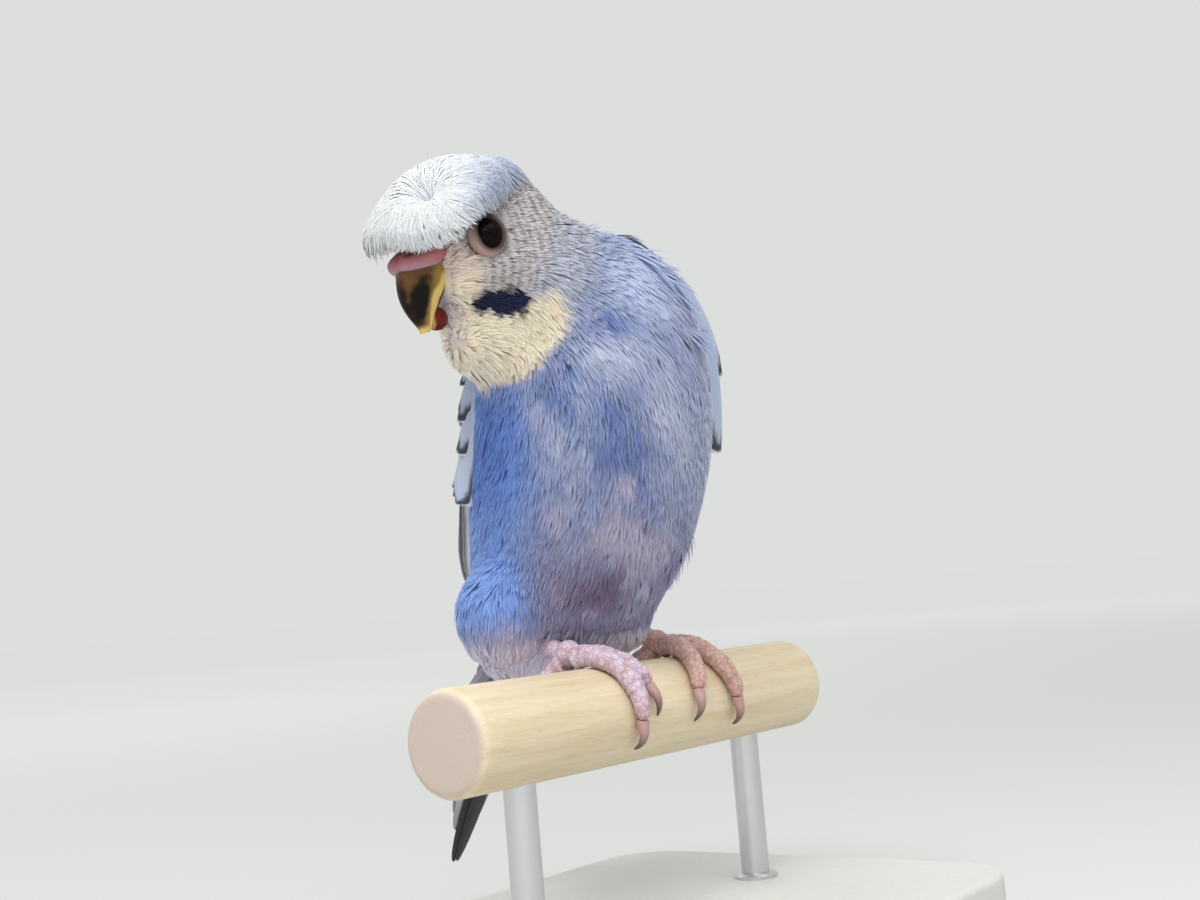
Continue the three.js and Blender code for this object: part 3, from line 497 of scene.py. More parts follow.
for _ in range(smoothing_passes):
    mean = np.stack([np.bincount(both_ways[:, 0], skin_places[both_ways[:, 1], axis],
                                 len(skin_places)) for axis in range(3)], -1) / neighbours
    skin_places += smoothing_share * (mean - skin_places)
skin_mesh.vertices.foreach_set("co", in_place(skin_places).ravel())
skin_mesh.update()
# The skin is a little darker than the feathers over it: painted shade under them.
coat_depth, skin_painted_shade = 1.45, 0.94
skin_normals = np.empty(len(skin_mesh.vertices) * 3)
skin_mesh.vertices.foreach_get("normal", skin_normals)
skin_places -= skin_normals.reshape(-1, 3) * coat_depth
skin_mesh.vertices.foreach_set("co", in_place(skin_places).ravel())
skin_mesh.update()
keep_colours(skin_mesh, plumage(skin_places) * skin_painted_shade)


def plume_of(tree):
    """The colours that keep_colours gave to the corners of the piece's mesh."""
    return node_of(tree, "Attribute", "Color", attribute_name="plume")


down_finish, tree, face = finish_of("down_skin", (0.4, 0.4, 0.5), 0.9)
down_noise = node_of(tree, "TexNoise", "Fac", {"Scale": 1800})
set_inputs(tree, face, {"Base Color": plume_of(tree), "Normal": bump_of(tree, down_noise, 0.5, 0.0002)})
fit_piece("skin", skin_mesh, down_finish, "body_feathers", *flesh_names)


# The contour feathers clothe the body, neck and head. Each is a soft tuft of fine barbs from one
# root in the skin, lying back along the bird from bill to tail over the roots of the next, so that
# only the tips show and run together into one smooth coat.
lie_path = np.array([head_point(9, 0, -3), head_centre, [-24, 3.8, 73.0], [-19, 2.4, 70.5],
                     [-12, 0.0, 66.0], [-7.0, -0.5, 58], [-4.0, 3.0, 46], [-2.5, 8.5, 33],
                     [-1.5, 15, 22.5], [1, 22.5, 13.5], [3.2, 29.5, 7], [6.5, 38, -4]])
lie_steps = np.linalg.norm(np.diff(lie_path, axis=0), axis=1)
lie_lengths = np.concatenate([[0], np.cumsum(lie_steps)])
lie_stations, lie_softening = 90, 6
lie_samples = np.linspace(0, lie_lengths[-1], lie_stations)
lie_places = np.stack([np.interp(lie_samples, lie_lengths, lie_path[:, k]) for k in range(3)], -1)
lie_tangents = unit(np.gradient(lie_places, axis=0))
for _ in range(lie_softening):
    lie_tangents[1:-1] = unit(lie_tangents[:-2] + 2 * lie_tangents[1:-1] + lie_tangents[2:])


def lie_at(points):
    """The way the feathers point at places on the bird, before it is laid along the skin."""
    far = np.linalg.norm(points[:, None, :] - lie_places[None], axis=-1)
    near = far.min(axis=1, keepdims=True)
    weight = np.exp(-((far - near) / 4.0) ** 2)
    direction = unit(np.einsum("ij,jk->ik", weight, lie_tangents))
    thigh = ease(points[:, 2], 26, 18) * ease(points @ body_left, -15, -19)
    return unit(blend(direction, np.array([-0.1, -0.1, -1.0]), thigh * 0.8))


sheet_rim = 0.02


def spine_coordinates(points):
    """How far round the bird a place is, and how far along, as shares of one: the unwrapped skin."""
    far = np.linalg.norm(points[:, None, :] - lie_places[None], axis=-1)
    near = far.argmin(axis=1)
    tangent = lie_tangents[near]
    left = unit(body_left - tangent * (tangent @ body_left)[:, None])
    up = np.cross(tangent, left)
    away = points - lie_places[near]
    around = np.arctan2((away * left).sum(1), (away * up).sum(1))
    along = near / (len(lie_places) - 1) + (away * tangent).sum(1) / lie_lengths[-1]
    both = np.stack([around / (2 * math.pi) + 0.5, np.clip(along, 0, 1)], -1)
    return sheet_rim + (1 - 2 * sheet_rim) * both


skin_loops = [p.vertices[:] for p in skin_mesh.polygons]
skin_tree = BVHTree.FromPolygons([tuple(p) for p in skin_places], skin_loops)
skin_triangles = np.array([t for f in skin_loops
                           for t in ((f[0], f[1], f[2]), (f[0], f[2], f[-1])) if len(set(t)) == 3])
a, b, c = (skin_places[skin_triangles[:, i]] for i in range(3))
triangle_areas = 0.5 * np.linalg.norm(np.cross(b - a, c - a), axis=1)


tries_a_root = 3.2


def scatter(spacing, wanted, seed):
    """Roots spread evenly over the skin, no two nearer than the spacing, where wanted says so."""
    random = np.random.default_rng(seed)
    tries = int(triangle_areas.sum() / spacing ** 2 * tries_a_root)
    chosen = random.choice(len(skin_triangles), tries, p=triangle_areas / triangle_areas.sum())
    u, v = random.random(tries), random.random(tries)
    flip = u + v > 1
    u, v = np.where(flip, 1 - u, u), np.where(flip, 1 - v, v)
    first, second, third = (skin_places[skin_triangles[chosen, k]] for k in range(3))
    spots = first + u[:, None] * (second - first) + v[:, None] * (third - first)
    spots = spots[wanted(spots)]
    taken, kept = {}, []
    for i, spot in enumerate(spots):
        cell = tuple((spot // spacing).astype(int))
        near = [j for dx in (-1, 0, 1) for dy in (-1, 0, 1) for dz in (-1, 0, 1)
                for j in taken.get((cell[0] + dx, cell[1] + dy, cell[2] + dz), ())]
        if not near or np.linalg.norm(spots[near] - spot, axis=1).min() >= spacing:
            taken.setdefault(cell, []).append(i)
            kept.append(i)
    return spots[kept]


def onto_skin(points):
    hits = [skin_tree.find_nearest(Vector(p)) for p in points]
    return np.array([h[0] for h in hits]), np.array([h[1] for h in hits])


def coat_mesh(name, places, triangles, colours, uvs, facing):
    """One mesh of many closed vanes, each with its colours, its patch of the unwrapped skin and,
    at the corners of its triangles, the way its surface faces, nearly that of the coat as a whole."""
    mesh = bpy.data.meshes.new(name)
    mesh.vertices.add(len(places))
    mesh.vertices.foreach_set("co", in_place(places).astype(np.float32).ravel())
    mesh.loops.add(triangles.size)
    mesh.loops.foreach_set("vertex_index", triangles.ravel().astype(np.int32))
    mesh.polygons.add(len(triangles))
    mesh.polygons.foreach_set("loop_start", np.arange(0, triangles.size, 3, dtype=np.int32))
    mesh.polygons.foreach_set("use_smooth", np.ones(len(triangles), bool))
    mesh.update(calc_edges=True)
    keep_colours(mesh, colours)
    layer = mesh.uv_layers.new(name="OFBake")
    layer.data.foreach_set("uv", uvs[triangles.ravel()].astype(np.float32).ravel())
    mesh.normals_split_custom_set(facing.reshape(-1, 3).astype(np.float32))
    return mesh


def blade_triangles(rings):
    """Triangles of one closed blade of rings of left edge, ridge and right edge and a tip, and
    which way each faces: 1 for the upper side and -1 for the underside."""
    faces, facing = [(0, 2, 1)], [-1]
    for ring in range(rings - 1):
        for side in range(3):
            a, b = ring * 3 + side, ring * 3 + (side + 1) % 3
            faces += [(a, b, a + 3), (b, b + 3, a + 3)]
            facing += [1 if side < 2 else -1] * 2
    tip = rings * 3
    faces += [(tip - 3 + side, tip - 3 + (side + 1) % 3, tip) for side in range(3)]
    return np.array(faces), np.array(facing + [1, 1, -1])


def blades_mesh(name, spine, across, above, half, colour, uv):
    """Closed blades along given spines: places, ways across and above, half widths, colours and
    unwrapped places, each for every blade and every ring from root to tip. The underside faces
    along the blade, so that it takes the light of the tips beside it."""
    total, rings = spine.shape[0], spine.shape[1] - 1
    left, right = spine - across * half[..., None], spine + across * half[..., None]
    ridge = spine + above * (0.25 * half + 0.03)[..., None]
    ahead = unit(np.cross(above, across))

    def ringed(a, b, c, tip):
        body = np.stack([a[:, :rings], b[:, :rings], c[:, :rings]], 2)
        return np.concatenate([body.reshape(total, rings * 3, -1), tip[:, rings:]], 1)

    places = ringed(left, ridge, right, spine)
    top = ringed(above - 0.25 * across, above, above + 0.25 * across, above + 0.1 * ahead).reshape(-1, 3)
    under = ringed(ahead - 0.3 * above, ahead, ahead - 0.3 * above, ahead).reshape(-1, 3)
    colours, uvs = ringed(colour, colour, colour, colour), ringed(uv, uv, uv, uv)
    pattern, facing = blade_triangles(rings)
    triangles = (np.arange(total)[:, None, None] * (rings * 3 + 1) + pattern[None]).reshape(-1, 3)
    upward = np.tile(facing, total)[:, None, None] > 0
    corners = np.where(upward, unit(top)[triangles], unit(under)[triangles])
    return coat_mesh(name, places.reshape(-1, 3), triangles, colours.reshape(-1, 3),
                     uvs.reshape(-1, 2), corners)


root_sink, patch_across = 0.3, 0.003
# Barbs lose some of the light that passes through them, and their colours are raised by as much
barb_gain = np.array([1.19, 1.19, 1.29])
head_gain = np.array([1.20, 1.17, 1.18])
feather_finish, tree, face = finish_of("contour_feather", (0.4, 0.45, 0.6), 0.85)
# Barbs let light through, so the gaps between them aren't dark
set_inputs(tree, face, {
    "Base Color": plume_of(tree), "Sheen Weight": 0.12, "Sheen Roughness": 0.5,
    "Specular IOR Level": 0.15, "Subsurface Weight": 0.55, "Subsurface Radius": (1.0, 1.0, 1.0),
    "Subsurface Scale": 0.0009})


def tufts(name, roots, seed, length, width, blades, half_width, lift, rings=3, stray=0.10,
          loose=0.03, colour_at=plumage, gain=barb_gain, slot="body_feathers"):
    """A coat piece: at each root a tuft of that many blades, which follows the lie over the skin.
    The tuft has a length and a width, each blade half its own, and its end stands off by the lift."""
    random = np.random.default_rng(seed)
    total = len(roots)
    length = length * random.uniform(0.85, 1.15, total)
    point, normal = onto_skin(roots)
    sway = random.normal(0, stray, total) + 0.30 * clouds(roots, 5.0, seed + 11)
    centre, side, up = [], [], []
    for step in range(rings + 1):
        direction = lie_at(point)
        direction = unit(direction - normal * (direction * normal).sum(1)[:, None])
        direction = unit(direction + np.cross(direction, normal) * sway[:, None])
        centre.append(point)
        side.append(np.cross(direction, normal))
        up.append(normal)
        point, normal = onto_skin(point + direction * (length / rings)[:, None])
    centre, side, up = (np.stack(x, 1) for x in (centre, side, up))
    t = np.linspace(0, 1, rings + 1)
    place = np.linspace(-1, 1, blades)[None, :] + random.normal(0, 0.14, (total, blades))
    reach = random.uniform(0.84, 1.04, (total, blades)) - 0.14 * place ** 2
    out = width / 2 * place[..., None] * (0.3 + 0.7 * t ** 0.7)
    high = lift * (0.16 + 0.84 * t) + lift * random.normal(0, loose, (total, blades, 1)) * t
    high = high + random.normal(0, loose * lift, (total, 1, 1)) * t - 0.06 * place[..., None] ** 2
    high[..., 0] = -root_sink
    wide = half_width * np.interp(t, [0, 0.3, 0.7, 1], [0.6, 1.0, 0.95, 0.0])
    wide = wide * random.uniform(0.85, 1.2, (total, blades, 1))
    ring = np.clip(t[None, None, :] * reach[..., None] * rings, 0, rings - 1e-6)
    low = ring.astype(int)
    share = (ring - low)[..., None]
    index = np.arange(total)[:, None, None]
    mid, across, above = (values[index, low] * (1 - share) + values[index, low + 1] * share
                          for values in (centre, side, up))
    spine = mid + across * out[..., None] + above * high[..., None]
    colour = colour_at(mid.reshape(-1, 3)).reshape(total, blades, rings + 1, 3)
    shade = random.normal(1.0, 0.03, (total, blades, 1, 1))
    shade = shade * random.normal(1.0, 0.025, (total, 1, 1, 1))
    # Each blade is painted darker at its root and lighter at its tip: painted shade where it lies under
    # the next tufts and painted light where it lies on top.
    light = np.interp(t, [0, 0.5, 1], [0.94, 0.99, 1.04])[None, None, :, None]
    colour = gain * colour * shade * light
    local = np.stack([place[..., None] * 0.4 + 0 * ring, ring / rings - 0.5], -1) * patch_across
    uv = spine_coordinates(roots)[:, None, None, :] + local
    each = (total * blades, rings + 1)
    mesh = blades_mesh(name, spine.reshape(*each, 3), across.reshape(*each, 3),
                       above.reshape(*each, 3), wide.reshape(each), colour.reshape(*each, 3),
                       uv.reshape(*each, 2))
    return fit_piece(name, mesh, feather_finish, slot)


eye_forward, eye_side, eye_height = 2.7, 9.9, 1.4
# Balls that keep the feathers off the eyes, the cere and the bill: the middle and reach of each
bare_spots = [(head_point(eye_forward, eye_side, eye_height), 2.5),
              (head_point(eye_forward, -eye_side, eye_height), 2.5),
              (head_point(10.0, 0, 0.8), 4.6), (head_point(9.4, 0, -3.0), 4.2),
              (head_point(10.6, 0, -6.5), 2.6), (head_point(11.5, 0, -9.2), 1.8)]


def off_the_face(points):
    return np.all([np.linalg.norm(points - middle, axis=1) > reach for middle, reach in bare_spots],
                  axis=0)


def neck_share(points):
    return (points - head_centre) @ neck_direction


neck_low, neck_high, belly_top, breast_seam = -18, -8, 30, -6


def on_breast(p):
    return (neck_share(p) <= neck_low) & (p[:, 2] > belly_top)


def on_belly(p):
    return (neck_share(p) <= neck_low) & (p[:, 2] <= belly_top)


body_parts = [
    ("breast_right_feathers", lambda p: on_breast(p) & (p @ body_left < breast_seam)),
    ("breast_left_feathers", lambda p: on_breast(p) & (p @ body_left >= breast_seam)),
    ("belly_feathers", on_belly),
]
for number, (name, wanted) in enumerate(body_parts):
    tufts(name, scatter(1.2, wanted, 100 + number), 200 + number, length=6.4, width=2.6, blades=7,
          half_width=0.32, lift=1.2)
neck_roots = scatter(0.95, lambda p: (neck_share(p) > neck_low) & (neck_share(p) <= neck_high)
                     & off_the_face(p), 110)
tufts("neck_feathers", neck_roots, 210, length=4.2, width=1.8, blades=5, half_width=0.25, lift=1.2,
      rings=4, gain=head_gain, slot="head_feathers")
head_roots = scatter(0.66, lambda p: (neck_share(p) > neck_high) & off_the_face(p), 111)
tufts("head_feathers", head_roots, 211, length=2.7, width=1.1, blades=4, half_width=0.18, lift=1.05,
      rings=4, stray=0.06, gain=head_gain, slot="head_feathers")


# Loose barbs lie pale and thin over the side of the neck and the breast, where feathers have
# parted, and some stand a little off the outline of the shoulder and of the thigh.
loose_random = np.random.default_rng(120)


def round_spots(spots, count, far):
    """Roots on the skin, as many as asked for round each spot."""
    roots = np.repeat(np.array(spots), count, axis=0)
    return onto_skin(roots + loose_random.normal(0, far, roots.shape))[0]


loose_roots = round_spots([(-17.6, -14.3, 59.0), (-14.3, -16.9, 54.9), (-12.5, -16.5, 44.9),
                           (-6.2, -15.2, 72.4), (-1.8, -17.7, 65.6), (-2.3, -19.0, 60.3),
                           (-6.0, -16.0, 36.0), (-24.0, -6.0, 56.0), (-21.6, -10.4, 61.0),
                           (-10.4, -15.8, 64.5)], 14, 3.2)
tufts("loose_barbs", loose_roots[off_the_face(loose_roots)], 220, length=8.5, width=1.4, blades=3,
      half_width=0.08, lift=1.4, rings=4, stray=0.2, loose=0.12,
      colour_at=lambda p: blend(plumage(p), mist, np.full(len(p), 0.45)))


# A few whole tufts of the same barbs have lifted off the coat. Most stand along the left shoulder
# and the others low on the left of the belly, and all break the smooth outline.
shoulder_roots = round_spots([(-8.2, -14.4, 73.7), (-6.2, -15.2, 72.4), (-4.4, -16.0, 70.2),
                              (-2.5, -16.9, 68.1), (-2.7, -18.7, 62.0), (-2.3, -19.0, 60.3)], 3, 1.0)
tufts("raised_tufts", shoulder_roots, 221, length=6.5, width=2.4, blades=6, half_width=0.22,
      lift=2.4, rings=4, stray=0.25, loose=0.18,
      colour_at=lambda p: blend(plumage(p), sky_blue, np.full(len(p), 0.2)))
belly_roots = round_spots([(3.8, -10.8, 27.1), (3.8, -9.4, 24.6), (4.6, -9.8, 29.5)], 2, 0.9)
tufts("belly_tufts", belly_roots, 222, length=5.0, width=2.0, blades=6, half_width=0.18, lift=2.0,
      rings=4, stray=0.2, loose=0.12)


# The hem is of longer, softer and pinker feathers, rooted low on the belly and the thighs. They
# hang over the top of the right leg in a thick tuft and close the coat's lower edge.
right_leg_top, leg_tuft_reach, leg_tuft_lift = np.array([-11.5, 3.6, 13.0]), 3.4, 2.6


def at_hem(p):
    low = (p[:, 2] > 3.5) & (p[:, 2] < 15.5)
    return (neck_share(p) <= neck_low) & low & (p @ body_forward > -14)


hem_roots = scatter(1.2, at_hem, 130)
over_the_leg = np.exp(-((hem_roots - right_leg_top) ** 2).sum(1) / leg_tuft_reach ** 2)
tufts("hem_feathers", hem_roots, 230, length=6.0, width=3.0, blades=7, half_width=0.30,
      lift=1.7 + leg_tuft_lift * over_the_leg[:, None, None], rings=4, loose=0.05,
      colour_at=lambda p: blend(plumage(p), pink_white, 0.5 * ease(p[:, 2], 17.0, 11.0)))


# The wings are folded along the back in rows that lap like tiles: long flight feathers below, and
# greater, median and lesser coverts above them. Each feather is one vane on a pale shaft, pale blue
# or white at its edge with a black crescent or streak, and is rooted in the arm under the row above.
def through(points, t):
    """Places along the smooth curve through points, for shares of its length from 0 to 1."""
    points = np.asarray(points, float)
    padded = np.vstack([2 * points[0] - points[1], points, 2 * points[-1] - points[-2]])
    x = np.clip(np.asarray(t, float), 0, 1) * (len(points) - 1)
    i = np.minimum(x.astype(int), len(points) - 2)
    w = (x - i)[..., None]
    p0, p1, p2, p3 = (padded[i + k] for k in range(4))
    d0, d1, d2 = (np.maximum(((b - a) ** 2).sum(-1) ** 0.25, 1e-4)[..., None]
                  for a, b in ((p0, p1), (p1, p2), (p2, p3)))
    m1 = ((p1 - p0) / d0 - (p2 - p0) / (d0 + d1) + (p2 - p1) / d1) * d1
    m2 = ((p2 - p1) / d1 - (p3 - p1) / (d1 + d2) + (p3 - p2) / d2) * d1
    return p1 + m1 * w + (3 * (p2 - p1) - 2 * m1 - m2) * w ** 2 + (2 * (p1 - p2) + m1 + m2) * w ** 3


# Stations of the body from under the tail coverts up to the mantle: the middle of each, then its
# half width, its reach to the breast and to the back, its turn to the right and its tilt
station_middles = [(3.2, 29.5, 7), (1, 22.5, 13.5), (-1.5, 15, 22.5), (-2.5, 8.5, 33), (-3.5, 3.5, 45),
                   (-5.5, -0.5, 57), (-8.5, -1.5, 67), (-10.5, -0.5, 74.5), (-11.5, 0, 78.5)]
station_reaches = [(7, 4, 3.5), (12.5, 10, 8), (17.8, 17.5, 13.5), (20.8, 21, 18), (21.4, 21.5, 19.5),
                   (19.8, 19.5, 18.5), (16.6, 15.5, 15.5), (11.5, 10.5, 11), (4, 4, 4)]
station_turns = [(20, 0), (20, 2), (24, 5), (33, 8), (43, 11), (50, 13), (55, 14), (58, 14), (60, 14)]
flank_tuck = 2.6


def body_point(along, around, lift):
    """Places over the body: 0 to 1 from tail to mantle, and degrees round from the breast to the left."""
    along, around, lift = np.broadcast_arrays(*(np.asarray(v, float) for v in (along, around, lift)))
    middle = through(station_middles, along)
    tangent = unit(through(station_middles, along + 0.002) - through(station_middles, along - 0.002))
    reach = through(station_reaches, along)
    turns = np.radians(through([(a, b, 0) for a, b in station_turns], along))
    yaw, roll = turns[..., 0], turns[..., 1]
    level = np.stack([np.cos(yaw), -np.sin(yaw), np.zeros_like(yaw)], -1)
    ahead = np.stack([-np.sin(yaw), -np.cos(yaw), np.zeros_like(yaw)], -1)
    upright = unit(np.cross(ahead, level))
    left = level * np.cos(roll)[..., None] + upright * np.sin(roll)[..., None]
    left = unit(left - tangent * (left * tangent).sum(-1, keepdims=True))
    forward = unit(np.cross(left, tangent))
    sine, cosine = np.sin(np.radians(around)), np.cos(np.radians(around))
    tuck = np.where(sine < 0, flank_tuck * ease(along, 0, 0.25) * (1 - ease(along, 0.45, 0.68)), 0)
    side_reach = reach[..., 0] - tuck + lift
    depth = np.where(cosine > 0, reach[..., 1], reach[..., 2]) + lift
    return middle + left * (sine * side_reach)[..., None] + forward * (cosine * depth)[..., None]


def vane_parts(rows, columns):
    """Triangles of one thin closed vane between an upper and a lower grid of rows by columns."""
    size = rows * columns
    grid = np.arange(size).reshape(rows, columns)
    a, b, c, d = (part.ravel() for part in (grid[:-1, :-1], grid[1:, :-1], grid[1:, 1:], grid[:-1, 1:]))
    top = np.concatenate([np.stack([a, b, c], 1), np.stack([a, c, d], 1)])
    rim = np.concatenate([grid[:, 0], grid[-1, 1:], grid[-2::-1, -1], grid[0, -2:0:-1]])
    after = np.roll(rim, -1)
    edge = [np.stack([rim, rim + size, after], 1), np.stack([after, rim + size, after + size], 1)]
    return np.concatenate([top, top[:, ::-1] + size, *edge])


def vane_outline(t, point, root=0.35):
    """Half width of a vane along its length, from a narrow root to a rounded or pointed end."""
    rising = root + (1 - root) * ease(t, 0, 0.35)
    end = np.clip((1 - t) / point, 0, 1)
    return rising * np.sqrt(np.clip(1 - (1 - end) ** 2, 0, 1) * 0.985 + 0.015 * end)


wing_white = tone(224, 226, 232)
wing_silver = tone(178, 188, 212)
wing_blue = tone(150, 168, 206)
wing_black = tone(24, 24, 30)
vane_rows, vane_columns = 26, 15


def covert_colour(t, inside, random):
    """Silvery pale blue, with a fine black line a little inside the white edge round its end."""
    colour = blend(wing_silver, wing_blue, 0.5 * ease(t, 0.7, 0.1))
    colour = blend(colour, wing_white, ease(inside, 0.6, 0.3) * ease(t, 0.3, 0.6))
    line = ease(inside, 0.34, 0.46) * ease(inside, 1.15, 0.85) * ease(t, 0.62, 0.78)
    return blend(colour, wing_black, 0.95 * line) * random.normal(1, 0.04)


def flight_colour(t, inside, random):
    """White and silver, with a black streak along the shaft and a fine black line inside the edge."""
    colour = blend(wing_white, wing_silver, 0.6 * ease(t, 0.7, 0.2))
    line = ease(inside, 0.28, 0.38) * ease(inside, 0.7, 0.55) * ease(t, 0.15, 0.35)
    streak = ease(inside, 1.6, 1.9) * ease(t, 0.05, 0.25)
    return blend(colour, wing_black, 0.93 * np.maximum(line, streak)) * random.normal(1, 0.04)


# Each row's feathers, their root's station, the stations of the lowest and the highest tip, the
# degrees round of the roots and of the tips, then width, lift, stacking, how rounded the ends are,
# the colours and the one side that has the row, or 0 for both
wing_rows = [
    # Primaries and secondaries
    (8, 0.48, (0.01, 0.17), (98, 124), (142, 166), 4.6, 1.7, 0.16, 0.35, flight_colour, 0),
    (8, 0.52, (0.18, 0.28), (124, 163), (142, 168), 5.0, 2.7, 0.07, 0.3, flight_colour, 0),
    # Greater and median coverts, lesser coverts, and the strips that wrap over each wing's front
    (10, 0.64, (0.36, 0.40), (101, 161), (101, 166), 5.8, 3.2, 0.0, 0.45, covert_colour, 0),
    (10, 0.73, (0.50, 0.53), (103, 160), (103, 163), 5.4, 3.15, 0.0, 0.5, covert_colour, 0),
    (9, 0.80, (0.60, 0.62), (105, 159), (105, 161), 5.2, 3.0, 0.0, 0.55, covert_colour, 0),
    (9, 0.86, (0.69, 0.71), (108, 157), (108, 159), 4.8, 2.8, 0.0, 0.6, covert_colour, 0),
    (3, 0.56, (0.45, 0.46), (99, 106), (99, 107), 3.2, 3.6, 0.0, 0.6, covert_colour, -1),
    (3, 0.63, (0.52, 0.53), (100, 107), (100, 108), 3.2, 3.65, 0.0, 0.6, covert_colour, -1),
    (3, 0.69, (0.58, 0.59), (101, 108), (101, 109), 3.2, 3.6, 0.0, 0.6, covert_colour, -1),
    (3, 0.66, (0.50, 0.51), (89, 99), (89, 100), 3.6, 4.2, 0.0, 0.6, covert_colour, 1),
    (3, 0.75, (0.60, 0.61), (90, 100), (90, 101), 3.6, 4.0, 0.0, 0.6, covert_colour, 1),
    # The smallest, along the arm's edge
    (8, 0.91, (0.77, 0.79), (112, 154), (112, 155), 4.4, 2.4, 0.0, 0.6, covert_colour, 0),
]
vane_thickness, wing_tilt, wing_edge_lift, wing_root_lift = 0.14, 0.38, 0.68, 0.9
right_coverts_back, left_coverts_back, left_coverts_low = 9.0, 3.0, 0.9
most_round = 176.5
vane_finish, tree, face = finish_of("flight_vane", (0.5, 0.5, 0.55), 0.6)
barb_lines = node_of(tree, "TexNoise", "Color",
                     {"Vector": node_of(tree, "TexCoord", "Object"), "Scale": 3500})
barb_mix = node_of(tree, "Mix", "Result", {"Factor": 0.25, "A": plume_of(tree), "B": barb_lines},
                   data_type="RGBA", blend_type="MULTIPLY")
set_inputs(tree, face, {
    "Base Color": barb_mix, "Sheen Weight": 0.15,
    "Normal": bump_of(tree, barb_lines.node.outputs["Fac"], 0.3, 0.00015)})

pattern = vane_parts(vane_rows, vane_columns)
row_share = 1 - (1 - np.linspace(0, 1, vane_rows)) ** 1.5
column_share = np.linspace(-1, 1, vane_columns)
column_share = np.sign(column_share) * (1 - (1 - np.abs(column_share)) ** 1.7)
t_grid, across_grid = np.meshgrid(row_share, column_share, indexing="ij")


def joined_vanes(name, vanes):
    """One mesh of many vanes, each given as its upper and lower places, its colours and the place
    of its root on the unwrapped bird."""
    places, triangles, facing, colours, uvs, count = [], [], [], [], [], 0
    local = np.stack([across_grid.ravel() * 0.5, t_grid.ravel() - 0.5], -1) * patch_across
    for upper, lower, colour, root_uv in vanes:
        normal = unit(np.cross(np.gradient(upper, axis=0), np.gradient(upper, axis=1)))
        outward = np.sign(((upper - lower) * normal).sum())
        normal = (normal * outward).reshape(-1, 3)
        own = pattern if outward > 0 else pattern[:, ::-1]
        facing.append(np.concatenate([normal, -normal])[own])
        triangles.append(own + count)
        places += [upper.reshape(-1, 3), lower.reshape(-1, 3)]
        colours.append(np.tile(colour.reshape(-1, 3), (2, 1)))
        uvs.append(np.tile(root_uv + local, (2, 1)))
        count += 2 * vane_rows * vane_columns
    return coat_mesh(name, *(np.concatenate(v) for v in (places, triangles, colours, uvs, facing)))


for side, name in ((1, "left"), (-1, "right")):
    random = np.random.default_rng(31 + side)
    vanes, t, across = [], t_grid, across_grid
    for count, root, tips, starts, ends, width, high, stack, rounding, colour_at, only in wing_rows:
        for i in range(count if only in (0, side) else 0):
            part = i / (count - 1)
            back = (right_coverts_back * ease(root, 0.75, 0.9) if side < 0
                    else left_coverts_back * (root > 0.7)) * (1 - part)
            tip = np.interp(part, [0, 1], tips) + random.normal(0, 0.004)
            start = np.interp(part, [0, 1], starts) + back
            end = np.interp(part, [0, 1], ends) + back + random.normal(0, 0.6)
            along = root + (tip - root) * t
            reach = through(station_reaches, along)
            girth = np.maximum(9, (reach[..., 0] + reach[..., 2]) / 2 + 2)
            half_turn = np.degrees(width / (2 * girth))
            wide = vane_outline(t, rounding)
            around = np.minimum(most_round, start + (end - start) * t + across * wide * half_turn)
            lean = -across * wing_tilt * np.minimum(1, t * 3)
            inward = np.clip((start - 98) / 65, 0, 1)
            wrap = max(0.0, 1 - 2.4 * inward) * ease(-across, -0.4, 1.0)
            full = high * np.interp(inward * 2, [0, 1], [wing_edge_lift, 1]) + stack * i
            full = full * (left_coverts_low if side > 0 and root > 0.7 else 1.0)
            lift = wing_root_lift + (full - wing_root_lift) * t ** 0.8 + lean
            lift = lift + random.normal(0, 0.06) * t + 0.10 * (1 - across ** 2)
            lift = lift - wrap * (lift + 1.1)
            upper = body_point(along, side * around, lift + vane_thickness / 2)
            lower = body_point(along, side * around, lift - vane_thickness / 2)
            root_uv = spine_coordinates(upper[vane_rows // 2, [vane_columns // 2]])[0]
            inside = (1 - np.abs(across)) * wide * width / 2
            vanes.append((upper, lower, colour_at(t, inside, random), root_uv))
    fit_piece(f"wing_{name}_feathers", joined_vanes(f"wing_{name}_feathers", vanes), vane_finish,
              "wing_feathers", f"wing_{name}")


# The mantle is of long soft feathers that fill the back between the wings. They are silvery, with
# darker crossbars over the shoulders, and grow in a strip that narrows toward the rump.
mantle_foot, mantle_heights, mantle_half_wide = 18, [20, 40, 60], [2.0, 4.5, 7.5]


def on_the_mantle(points):
    middles = np.array(station_middles)
    middle = np.stack([np.interp(points[:, 2], middles[:, 2], middles[:, k]) for k in range(3)], -1)
    away = points - middle
    strip = np.abs(away @ body_left) < np.interp(points[:, 2], mantle_heights, mantle_half_wide)
    return strip & (away @ body_forward < 0) & (points[:, 2] > mantle_foot)


mantle_bar_spacing = 3.4


def mantle_colour(points):
    wave = points[..., 2] + 0.8 * clouds(points, 3.0, 14)
    bars = ease(np.cos(2 * math.pi * wave / mantle_bar_spacing), 0.35, 0.9)
    colour = blend(plumage(points), wing_silver, np.full(points.shape[:-1], 0.7))
    return blend(colour, bar_grey, 0.6 * bars * ease(points[..., 2], 34, 44))


mantle_roots = scatter(1.25, lambda p: on_the_mantle(p) & (neck_share(p) <= -14), 140)
tufts("mantle_feathers", mantle_roots, 240, length=7.0, width=3.0, blades=7, half_width=0.32,
      lift=3.4, loose=0.05, colour_at=mantle_colour)


